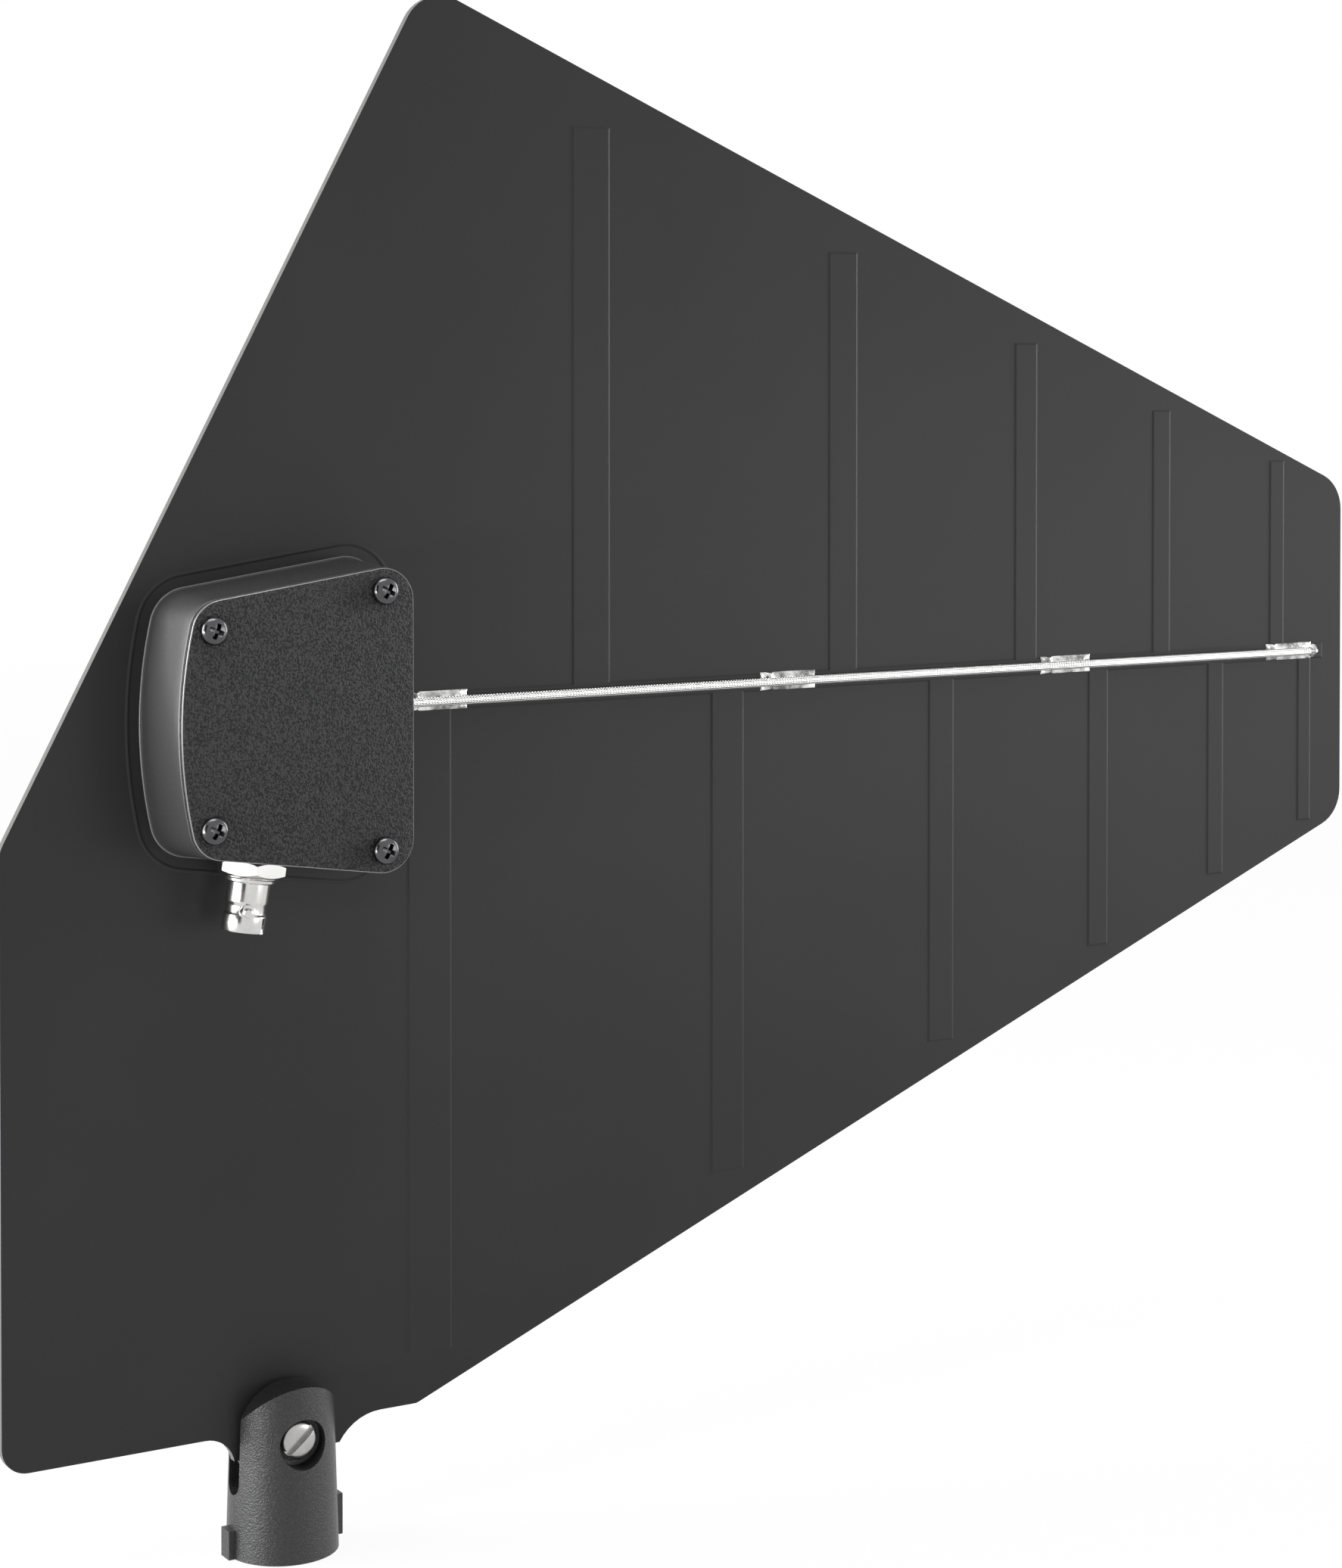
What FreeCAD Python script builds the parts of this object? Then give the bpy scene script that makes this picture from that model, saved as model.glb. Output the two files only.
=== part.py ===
import FreeCAD, Part
import math
import os
import Sketcher

# Log periodic antenna on a tilting stand adapter. Millimetres.
# X runs along the boom from rear to nose, Z is up and the connector side faces -Y.
# The origin is the mouth of the adapter's stand thread, on its axis.

SIZES = {
    # Panel, measured from the boom axis and the adapter axis
    "panel_thickness": 2.0,
    "panel_rear": 65.8,
    "panel_nose": 314.6,
    "nose_half": 44.7,
    "apex_along": 35.7,
    "apex_height": 164.0,
    "rear_corner_drop": 26.9,
    "lower_front_along": 33.2,
    "lower_edge_level": 27.2,
    "panel_corner": 10.0,
    "rear_corner_round": 6.0,
    "lower_front_round": 2.5,
    "boom_height": 188.1,
    # Dipole elements of the log periodic array
    "array_ratio": 0.888,
    "last_along": 301.44,
    "first_distance": 381.0,
    "length_ratio": 0.39108,
    "first_width": 10.3,
    "width_ratio": 0.905,
    "relief": 0.2,
    "lead_distance": 4.8,
    "boom_width": 3.4,
    "boom_start": 18.0,
    "boom_end": 307.5,
    # Tab and pivot of the tilt joint
    "pivot_height": 26.5,
    "tab_radius": 11.9,
    "tab_step": 5.0,
    "tab_fillet_rear": 7.0,
    "tab_fillet_front": 12.0,
    "pivot_diameter": 5.0,
    "pivot_play": 0.05,
    "tab_play": 0.05,
    # Stand adapter
    "mouth_radius": 12.6,
    "neck_radius": 11.4,
    "cheek_round": 12.2,
    "slot_width": 5.5,
    "slot_clearance": 0.8,
    "recess_radius": 5.1,
    "recess_floor": 7.2,
    "core_radius": 8.9,
    "lug_width": 4.2,
    "lug_proud": 1.3,
    "rear_lug_top": 6.4,
    "front_lug_foot": 1.0,
    "front_lug_top": 10.2,
    # Threaded insert, five eighths inch by 27 threads
    "thread_radius": 7.5,
    "insert_length": 11.0,
    # Pivot screw, nut and washers
    "head_radius": 4.1,
    "head_height": 2.7,
    "driver_width": 1.3,
    "driver_depth": 1.3,
    "driver_turn": 48.0,
    "screw_tip": 0.5,
    "pivot_nut_flats": 8.0,
    "pivot_nut_height": 4.0,
    "nut_clearance": 0.1,
    "washer_radius": 8.0,
    # Connector housing
    "housing_rear": 32.5,
    "housing_front": 22.8,
    "housing_drop": 1.5,
    "housing_rear_half": 27.4,
    "housing_slope": 8.4,
    "housing_bow": 100.0,
    "housing_corner": 7.5,
    "housing_height": 18.5,
    "housing_draft": 1.2,
    "wall": 2.2,
    "coax_notch": 5.6,
    "notch_play": 0.6,
    "seat_play": 0.6,
    "cover_thickness": 1.5,
    "screw_inset_rear": 7.4,
    "screw_inset_front": 7.2,
    "screw_edge_rear": 6.5,
    "screw_edge_front": 5.3,
    "boss_radius": 3.7,
    # Pan head screws with a cross recess
    "screw_diameter": 3.0,
    "screw_play": 0.2,
    "screw_head_radius": 3.1,
    "screw_head_height": 2.0,
    "screw_rim": 1.0,
    "screw_face_radius": 2.1,
    "screw_grip": 6.0,
    # Bayonet connector, along its own axis from the outer face of the wall
    "bnc_along": -12.0,
    "bnc_rise": 0.757,
    "bnc_turn": 18.0,
    "bnc_thread_radius": 6.2,
    "bnc_thread_end": 4.6,
    "bnc_barrel_radius": 4.8,
    "bnc_waist_radius": 4.45,
    "bnc_waist_start": 8.8,
    "bnc_waist_run": 1.4,
    "bnc_collar_radius": 4.85,
    "bnc_collar_start": 12.1,
    "bnc_mouth": 15.6,
    "bnc_bore_radius": 4.1,
    "bnc_bore_floor": 6.4,
    "bnc_flange_radius": 7.2,
    "bnc_flange": 2.0,
    "bnc_tail_radius": 4.6,
    "bnc_tail": 3.4,
    "stud_radius": 1.05,
    "stud_reach": 1.45,
    "stud_from_mouth": 4.5,
    "collar_slit": 0.8,
    "slit_turn": 52.0,
    "bnc_nut_flats": 14.0,
    "bnc_nut_height": 3.2,
    "thread_play": 0.06,
    "tag_thickness": 0.8,
    "tag_tail": 6.0,
    "tag_width": 3.0,
    "insulator_radius": 3.2,
    "insulator_nose_radius": 2.35,
    "insulator_recess": 2.4,
    "contact_radius": 1.05,
    "contact_bore": 0.55,
    "contact_recess": 2.8,
    "contact_tail": 2.0,
    # Feed coax and solder joints
    "coax_radius": 1.05,
    "coax_end": 301.6,
    "coax_bend": 7.0,
    "coax_turn_along": 9.0,
    "coax_stop": 3.9,
    "coax_lead": 11.0,
    "dielectric_radius": 0.75,
    "dielectric_length": 0.8,
    "core_wire_radius": 0.45,
    "link_along": 304.4,
    "pad_length": 16.0,
    "pad_width": 4.8,
    "pad_thickness": 0.15,
    "first_pad": 38.3,
    "pad_pitch": 96.2,
    "bead_length": 12.0,
    "bead_width": 3.4,
    "nose_drop_radius": 1.9,
    "nose_drop_height": 1.6,
    "rear_drop_radius": 1.4,
    "rear_drop_height": 1.0,
}

ELEMENT_COUNT = 11
# The tenth element sits a little ahead of its place in the series, under the last pad
LEAD_ELEMENT = 9
PAD_COUNT = 4

doc = FreeCAD.newDocument("LogPeriodicAntenna")
sheet = doc.addObject("Spreadsheet::Sheet", "Sizes")
for row, (alias, number) in enumerate(SIZES.items(), start=1):
    sheet.set(f"A{row}", alias)
    sheet.set(f"B{row}", str(number))
    sheet.setAlias(f"B{row}", alias)
doc.recompute()

# Lengths that several sub-parts share, as expressions on the sheet
FRONT = "Sizes.panel_thickness / 2"
LOWER_EDGE = "(Sizes.lower_edge_level - Sizes.boom_height)"
# The flange stands in the housing with its free height shared by the rise
BNC_DEPTH = (
    "(Sizes.bnc_flange_radius"
    " + Sizes.bnc_rise * (Sizes.housing_height - 2 * Sizes.bnc_flange_radius))"
)
COAX_OUT = (
    "Sizes.panel_thickness / 2 + Sizes.relief + Sizes.pad_thickness + Sizes.coax_radius"
)
HOUSING_LEVEL = "Sizes.boom_height - Sizes.housing_drop"
REAR_BOW = "Sizes.housing_bow - sqrt(Sizes.housing_bow ^ 2 - Sizes.housing_rear_half ^ 2)"
CORNER_X = f"(-Sizes.housing_rear + {REAR_BOW})"
CHEEK_GAP = "Sizes.slot_width / 2"
SLOT_FLOOR = "(Sizes.pivot_height - Sizes.tab_radius - Sizes.slot_clearance)"


def half_height(along):
    """Half height of the housing outline at a place along the boom."""
    return f"(Sizes.housing_rear_half + ({along} - {CORNER_X}) * tan(Sizes.housing_slope))"


def number(expression):
    """Present value of an expression on the sheet."""
    result = sheet.evalExpression(expression)
    return float(getattr(result, "Value", result))


def bind(obj, **expressions):
    """Bind properties to expressions; a double underscore stands for a dot."""
    for name, expression in expressions.items():
        obj.setExpression(name.replace("__", "."), expression)


def place(obj, x="0", y="0", z="0", axis=None, angle=None):
    """Bind the placement of an object, with an optional turn about a fixed axis."""
    if axis is not None:
        obj.Placement.Rotation = FreeCAD.Rotation(FreeCAD.Vector(*axis), 1)
        obj.setExpression("Placement.Rotation.Angle", angle)
    obj.setExpression("Placement.Base.x", x)
    obj.setExpression("Placement.Base.y", y)
    obj.setExpression("Placement.Base.z", z)
    return obj


# Sketches and features of a body
def new_body(name):
    body = doc.addObject("PartDesign::Body", name)
    body.Label = name
    return body


def origin_feature(body, role):
    return next(f for f in body.Origin.OriginFeatures if f.Role == role)


def new_sketch(body, name, plane, offset="0"):
    sketch = body.newObject("Sketcher::SketchObject", name)
    sketch.AttachmentSupport = (origin_feature(body, plane), [""])
    sketch.MapMode = "FlatFace"
    sketch.setExpression("AttachmentOffset.Base.z", offset)
    return sketch


def pin_point(sketch, geometry, end, x, y, tag):
    """Hold one sketch point at a pair of expressions measured from the origin."""
    for kind, expression in (("DistanceX", x), ("DistanceY", y)):
        rule = Sketcher.Constraint(kind, -1, 1, geometry, end, number(expression))
        index = sketch.addConstraint(rule)
        sketch.renameConstraint(index, f"{tag}_{kind[-1].lower()}")
        sketch.setExpression(f"Constraints[{index}]", expression)


def bow_middle(start, end, radius, side):
    """Middle of an arc that bulges to the left of its chord, or with side -1 to the right."""
    chord = end - start
    rise = radius - math.sqrt(radius**2 - (chord.Length / 2) ** 2)
    left = FreeCAD.Vector(-chord.y, chord.x, 0).normalize()
    return (start + end) * 0.5 + left * rise * side


def add_outline(sketch, corners, tag, bow=None):
    """Closed outline of straight edges, each corner held by expressions.

    bow is (edge number, radius expression, side) for one edge that is an arc. The
    corners run anticlockwise, so side 1 bows the edge inwards and side -1 outwards.
    """
    points = [FreeCAD.Vector(number(x), number(y), 0) for x, y in corners]
    first = sketch.GeometryCount
    count = len(points)
    for i, start in enumerate(points):
        end = points[(i + 1) % count]
        if bow and bow[0] == i:
            middle = bow_middle(start, end, number(bow[1]), bow[2])
            sketch.addGeometry(Part.Arc(start, middle, end))
            index = sketch.addConstraint(
                Sketcher.Constraint("Radius", first + i, number(bow[1]))
            )
            sketch.setExpression(f"Constraints[{index}]", bow[1])
        else:
            sketch.addGeometry(Part.LineSegment(start, end))

    def end_near(geometry, point):
        gap = (sketch.getPoint(geometry, 1) - point).Length
        return 1 if gap < 1e-4 else 2

    for i, (x, y) in enumerate(corners):
        before = first + (i - 1) % count
        here = first + i
        sketch.addConstraint(
            Sketcher.Constraint(
                "Coincident",
                before,
                end_near(before, points[i]),
                here,
                end_near(here, points[i]),
            )
        )
        pin_point(sketch, here, end_near(here, points[i]), x, y, f"{tag}{i}")


def add_circle(sketch, x, y, radius, tag):
    centre = FreeCAD.Vector(number(x), number(y), 0)
    circle = Part.Circle(centre, FreeCAD.Vector(0, 0, 1), number(radius))
    index = sketch.addGeometry(circle)
    rule = sketch.addConstraint(Sketcher.Constraint("Radius", index, number(radius)))
    sketch.setExpression(f"Constraints[{rule}]", radius)
    pin_point(sketch, index, 3, x, y, tag)


def add_rectangle(sketch, x1, y1, x2, y2, tag):
    add_outline(sketch, [(x1, y1), (x2, y1), (x2, y2), (x1, y2)], tag)


def pad(body, sketch, length, symmetric=False):
    feature = body.newObject("PartDesign::Pad", f"{sketch.Name}Pad")
    feature.Profile = sketch
    feature.setExpression("Length", length)
    feature.SideType = "Symmetric" if symmetric else "One side"
    sketch.Visibility = False
    return feature


def pocket(body, sketch):
    """Cut a sketch right through, both ways."""
    feature = body.newObject("PartDesign::Pocket", f"{sketch.Name}Pocket")
    feature.Profile = sketch
    feature.Type = "ThroughAll"
    feature.SideType = "Symmetric"
    sketch.Visibility = False
    return feature


def revolve(body, sketch):
    """Revolve a sketch about the vertical axis of the body."""
    feature = body.newObject("PartDesign::Revolution", f"{sketch.Name}Turn")
    feature.Profile = sketch
    feature.ReferenceAxis = (origin_feature(body, "Z_Axis"), [""])
    feature.Angle = 360
    sketch.Visibility = False
    return feature


def fillet(body, feature, radius, chosen):
    """Round the edges of a feature for which chosen(edge) holds."""
    doc.recompute()
    names = [
        f"Edge{i}" for i, edge in enumerate(feature.Shape.Edges, start=1) if chosen(edge)
    ]
    round_edges = body.newObject("PartDesign::Fillet", f"{feature.Name}Fillet")
    round_edges.Base = (feature, names)
    round_edges.setExpression("Radius", radius)
    return round_edges


def crosses_panel(edge):
    """Whether an edge runs across the panel, as the upright edges of the housing do."""
    if len(edge.Vertexes) != 2:
        return False
    start, end = (vertex.Point for vertex in edge.Vertexes)
    return abs(start.y - end.y) > 0.8 * edge.Length


def crosses_panel_at(x, z):
    """Test for an edge that runs across the panel near a point of its outline."""

    def test(edge):
        if not crosses_panel(edge):
            return False
        middle = (edge.Vertexes[0].Point + edge.Vertexes[1].Point) * 0.5
        return abs(middle.x - x) < 1.5 and abs(middle.z - z) < 1.5

    return test


# Part primitives and booleans
def solid(kind, name, **expressions):
    obj = doc.addObject(f"Part::{kind}", name)
    bind(obj, **expressions)
    return obj


def fuse(name, *pieces):
    obj = doc.addObject("Part::MultiFuse", name)
    obj.Shapes = list(pieces)
    obj.Label = name
    return obj


def cut(name, base, tool):
    obj = doc.addObject("Part::Cut", name)
    obj.Base = base
    obj.Tool = tool
    obj.Label = name
    return obj


def common(name, *pieces):
    obj = doc.addObject("Part::MultiCommon", name)
    obj.Shapes = list(pieces)
    obj.Label = name
    return obj


def group(name, *pieces):
    obj = doc.addObject("Part::Compound", name)
    obj.Links = list(pieces)
    obj.Label = name
    return obj


# Antenna panel: one laminated board with the array in relief on both faces
def element_distance(order):
    """Place of an element along the boom: its distance to the array's apex shrinks."""
    last = ELEMENT_COUNT - 1
    place_along = (
        "Sizes.last_along - Sizes.first_distance"
        f" * (Sizes.array_ratio ^ {order} - Sizes.array_ratio ^ {last})"
    )
    if order == LEAD_ELEMENT:
        place_along = f"{place_along} + Sizes.lead_distance"
    return f"({place_along})"


def make_antenna_panel():
    body = new_body("antenna_panel")
    place(body, z="Sizes.boom_height")
    pivot_z = "(Sizes.pivot_height - Sizes.boom_height)"
    corners = [
        ("-Sizes.panel_rear", "-Sizes.rear_corner_drop"),
        ("Sizes.apex_along", "Sizes.apex_height"),
        ("Sizes.panel_nose", "Sizes.nose_half"),
        ("Sizes.panel_nose", "-Sizes.nose_half"),
        ("Sizes.lower_front_along", LOWER_EDGE),
        ("Sizes.tab_radius", LOWER_EDGE),
        ("Sizes.tab_radius", f"{pivot_z} - Sizes.tab_radius * 2"),
        ("-Sizes.tab_radius", f"{pivot_z} - Sizes.tab_radius * 2"),
        ("-Sizes.tab_radius", LOWER_EDGE),
        ("-Sizes.panel_rear", LOWER_EDGE),
    ]
    outline = new_sketch(body, "PanelOutline", "XZ_Plane")
    add_outline(outline, corners, "corner")
    board = pad(body, outline, "Sizes.panel_thickness", symmetric=True)

    # Corner number and the radius that rounds it
    rounds = [
        (0, "Sizes.rear_corner_round"),
        (1, "Sizes.panel_corner"),
        (2, "Sizes.panel_corner"),
        (3, "Sizes.panel_corner"),
        (4, "Sizes.lower_front_round"),
        (5, "Sizes.tab_fillet_front"),
        (8, "Sizes.tab_fillet_rear"),
        (9, "Sizes.rear_corner_round"),
    ]
    top = board
    for corner, radius in rounds:
        x, z = (number(value) for value in corners[corner])
        top = fillet(body, top, radius, crosses_panel_at(x, z))

    # Below a step inside the slot, the tab is round about the pivot
    trim = new_sketch(body, "TabTrim", "XZ_Plane")
    half = "sqrt(Sizes.tab_radius ^ 2 - Sizes.tab_step ^ 2)"
    step = f"({pivot_z} - Sizes.tab_step)"
    wide = "(Sizes.tab_radius + Sizes.tab_fillet_front + Sizes.tab_fillet_rear)"
    deep = f"({pivot_z} - Sizes.tab_radius * 3)"
    trim_corners = [
        (half, step),
        (f"-1 * {half}", step),
        (f"-1 * {wide}", step),
        (f"-1 * {wide}", deep),
        (wide, deep),
        (wide, step),
    ]
    add_outline(trim, trim_corners, "trim", (0, "Sizes.tab_radius", 1))
    pocket(body, trim)

    boom = new_sketch(body, "BoomStrip", "XZ_Plane", FRONT)
    add_rectangle(
        boom,
        "Sizes.boom_start",
        "-Sizes.boom_width / 2",
        "Sizes.boom_end",
        "Sizes.boom_width / 2",
        "boom",
    )
    boom_strip = pad(body, boom, "Sizes.relief")
    elements = new_sketch(body, "Elements", "XZ_Plane", FRONT)
    for order in range(ELEMENT_COUNT):
        side = "-1" if order % 2 == 0 else "1"
        middle = element_distance(order)
        half = f"Sizes.first_width * Sizes.width_ratio ^ {order} / 2"
        add_rectangle(
            elements,
            f"{middle} - {half}",
            "0",
            f"{middle} + {half}",
            f"{side} * Sizes.length_ratio * Sizes.first_distance * Sizes.array_ratio ^ {order}",
            f"element{order}_",
        )
    element_strips = pad(body, elements, "Sizes.relief")

    # The rear face carries the same array turned over about the boom
    turned = body.newObject("PartDesign::PolarPattern", "RearArray")
    turned.Originals = [boom_strip, element_strips]
    turned.Axis = (origin_feature(body, "X_Axis"), [""])
    turned.Angle = 360
    turned.Occurrences = 2
    body.Tip = turned

    holes = new_sketch(body, "PanelHoles", "XZ_Plane")
    add_circle(
        holes, "0", pivot_z, "Sizes.pivot_diameter / 2 + Sizes.pivot_play", "pivot"
    )
    add_circle(holes, "Sizes.link_along", "0", "Sizes.core_wire_radius + 0.1", "link")
    for index, (x, z) in enumerate(screw_places()):
        add_circle(
            holes,
            x,
            f"{z} - Sizes.housing_drop",
            "Sizes.screw_diameter / 2 + Sizes.screw_play",
            f"screw{index}_",
        )
    body.Tip = pocket(body, holes)
    return body


# Connector housing, cover and screws
def screw_places():
    """Places of the housing screws about the housing's own axis."""
    rear = "(-Sizes.housing_rear + Sizes.screw_inset_rear)"
    front = "(Sizes.housing_front - Sizes.screw_inset_front)"
    places = []
    for x, edge in ((rear, "Sizes.screw_edge_rear"), (front, "Sizes.screw_edge_front")):
        rise = f"({half_height(x)} - {edge})"
        places += [(x, rise), (x, f"-1 * {rise}")]
    return places


def housing_corners(grow="0"):
    """Corners of the housing outline, offset outwards by an expression."""
    rear = f"({CORNER_X} - {grow})"
    front = f"(Sizes.housing_front + {grow})"
    widen = f"{grow} / cos(Sizes.housing_slope)"
    rear_half = f"({half_height(rear)} + {widen})"
    front_half = f"({half_height(front)} + {widen})"
    return [
        (rear, f"-1 * {rear_half}"),
        (front, f"-1 * {front_half}"),
        (front, front_half),
        (rear, rear_half),
    ]


REAR_EDGE = (3, "Sizes.housing_bow", -1)


def make_housing_cut():
    """Flat seat and hole for the connector, on the connector's own axis."""
    seat = solid(
        "Cylinder",
        "ConnectorSeat",
        Radius="Sizes.bnc_nut_flats / 2 / cos(30) + Sizes.seat_play",
        Height="Sizes.wall * 2",
    )
    hole = solid(
        "Cylinder",
        "ConnectorHole",
        Radius="Sizes.bnc_thread_radius + Sizes.thread_play",
        Height="Sizes.wall * 4",
    )
    place(hole, z="-2 * Sizes.wall")
    return on_connector_axis(fuse("ConnectorCut", seat, hole))


def on_panel_front(obj, height="0"):
    """Stand a piece drawn about the housing's axis on the panel's front face."""
    return place(obj, y=f"-1 * ({FRONT} + {height})", z=HOUSING_LEVEL)


def housing_slab(name, grow, thickness, corner):
    """Straight-sided slab with the rounded outline of the housing."""
    body = new_body(name)
    outline = new_sketch(body, f"{name}Outline", "XZ_Plane")
    add_outline(outline, housing_corners(grow), "corner", REAR_EDGE)
    slab = pad(body, outline, thickness)
    body.Tip = fillet(body, slab, corner, crosses_panel)
    return body


def make_housing_frame():
    """Drafted walls with four screw bosses, open towards the panel and the cover."""
    block = housing_slab(
        "HousingBlock", "0", "Sizes.housing_height", "Sizes.housing_corner"
    )
    slab = block.Tip
    doc.recompute()
    walls, rim = [], []
    for index, face in enumerate(slab.Shape.Faces, start=1):
        middle = face.CenterOfMass
        if abs(middle.y + number("Sizes.housing_height")) < 1e-6:
            rim.append(f"Face{index}")
        elif abs(middle.y) > 1e-6:
            walls.append(f"Face{index}")
    draft = block.newObject("PartDesign::Draft", "HousingDraft")
    draft.Base = (slab, walls)
    draft.NeutralPlane = (slab, rim)
    draft.setExpression("Angle", "atan(Sizes.housing_draft / Sizes.housing_height)")
    draft.Reversed = True
    block.Tip = draft
    cavity = housing_slab(
        "HousingCavity",
        "(-1 * Sizes.wall)",
        "Sizes.housing_height",
        "Sizes.housing_corner - Sizes.wall",
    )

    bosses = new_body("HousingBosses")
    boss_rings = new_sketch(bosses, "BossRings", "XZ_Plane")
    openings = new_body("HousingOpenings")
    bores = new_sketch(openings, "ScrewBores", "XZ_Plane")
    for index, (x, z) in enumerate(screw_places()):
        add_circle(boss_rings, x, z, "Sizes.boss_radius", f"boss{index}_")
        add_circle(
            bores, x, z, "Sizes.screw_diameter / 2 + Sizes.thread_play", f"bore{index}_"
        )
    pad(bosses, boss_rings, "Sizes.housing_height")
    pad(openings, bores, "Sizes.housing_height")

    notch = solid(
        "Box",
        "CoaxNotch",
        Length="Sizes.wall + Sizes.housing_draft + 2",
        Width=f"{COAX_OUT} - {FRONT} + Sizes.coax_radius + Sizes.notch_play",
        Height="Sizes.coax_notch",
    )
    place(
        notch,
        x="Sizes.housing_front - Sizes.wall - 1",
        y=f"-1 * ({COAX_OUT} - {FRONT} + Sizes.coax_radius + Sizes.notch_play)",
        z="Sizes.housing_drop - Sizes.coax_notch / 2",
    )
    walls = fuse("HousingWalls", cut("HousingShell", block, cavity), bosses)
    bored = cut("HousingBored", walls, fuse("HousingCuts", openings, notch))
    on_panel_front(bored)
    return cut("housing_frame", bored, make_housing_cut())


def make_housing_cover():
    body = housing_slab(
        "housing_cover", "0", "Sizes.cover_thickness", "Sizes.housing_corner"
    )
    on_panel_front(body, "Sizes.housing_height")
    holes = new_sketch(body, "CoverHoles", "XZ_Plane")
    for index, (x, z) in enumerate(screw_places()):
        add_circle(
            holes, x, z, "Sizes.screw_diameter / 2 + Sizes.screw_play", f"hole{index}_"
        )
    body.Tip = pocket(body, holes)
    return body


SHANK_SIDES = 8


def make_pan_screw(name, length):
    """Pan head screw with its head above z = 0 and a plain shank below, hidden in its hole."""
    drum = solid(
        "Cylinder",
        f"{name}Drum",
        Radius="Sizes.screw_head_radius",
        Height="Sizes.screw_rim",
    )
    crown = solid(
        "Cone",
        f"{name}Crown",
        Radius1="Sizes.screw_head_radius",
        Radius2="Sizes.screw_face_radius",
        Height="Sizes.screw_head_height - Sizes.screw_rim",
    )
    place(crown, z="Sizes.screw_rim")
    head = fuse(f"{name}Head", drum, crown)
    shank = solid(
        "Prism", f"{name}Shank", Circumradius="Sizes.screw_diameter / 2", Height=length
    )
    shank.Polygon = SHANK_SIDES
    place(shank, z=f"-1 * ({length})")
    return fuse(name, head, shank)


def make_screws():
    """Four screws hold the cover, and four hold the housing through the panel."""
    cover_side, panel_side = [], []
    for index, (x, rise) in enumerate(screw_places(), start=1):
        z = f"{HOUSING_LEVEL} + {rise}"
        front = make_pan_screw(
            f"cover_screw_{index}", "Sizes.screw_grip + Sizes.cover_thickness"
        )
        out = f"-1 * ({FRONT} + Sizes.housing_height + Sizes.cover_thickness)"
        cover_side.append(place(front, x=x, y=out, z=z, axis=(1, 0, 0), angle="90"))
        rear = make_pan_screw(
            f"panel_screw_{index}", "Sizes.screw_grip + Sizes.panel_thickness"
        )
        panel_side.append(
            place(rear, x=x, y=FRONT, z=z, axis=(1, 0, 0), angle="-90")
        )
    return [group("cover_screws", *cover_side), group("panel_screws", *panel_side)]


# Bayonet connector. Each piece is drawn on its own axis, z outwards from the wall
FLANGE_FRONT = "(-1 * Sizes.wall - Sizes.tag_thickness)"
FLANGE_BACK = "(-1 * Sizes.wall - Sizes.tag_thickness - Sizes.bnc_flange)"
TAIL_END = (
    "(-1 * Sizes.wall - Sizes.tag_thickness - Sizes.bnc_flange - Sizes.bnc_tail)"
)


def on_connector_axis(obj):
    """Stand a piece on the sloping lower wall of the housing, facing outwards."""
    return place(
        obj,
        x="Sizes.bnc_along",
        y=f"-1 * ({FRONT} + {BNC_DEPTH})",
        z=f"{HOUSING_LEVEL} - {half_height('Sizes.bnc_along')}",
        axis=(0, 1, 0),
        angle="180 + Sizes.housing_slope",
    )


def turned_body(name, profile):
    """Body revolved about its z axis from a closed profile of (radius, z) pairs."""
    body = new_body(name)
    sketch = new_sketch(body, f"{name}Profile", "XZ_Plane")
    add_outline(sketch, profile, "p")
    body.Tip = revolve(body, sketch)
    return body


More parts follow.
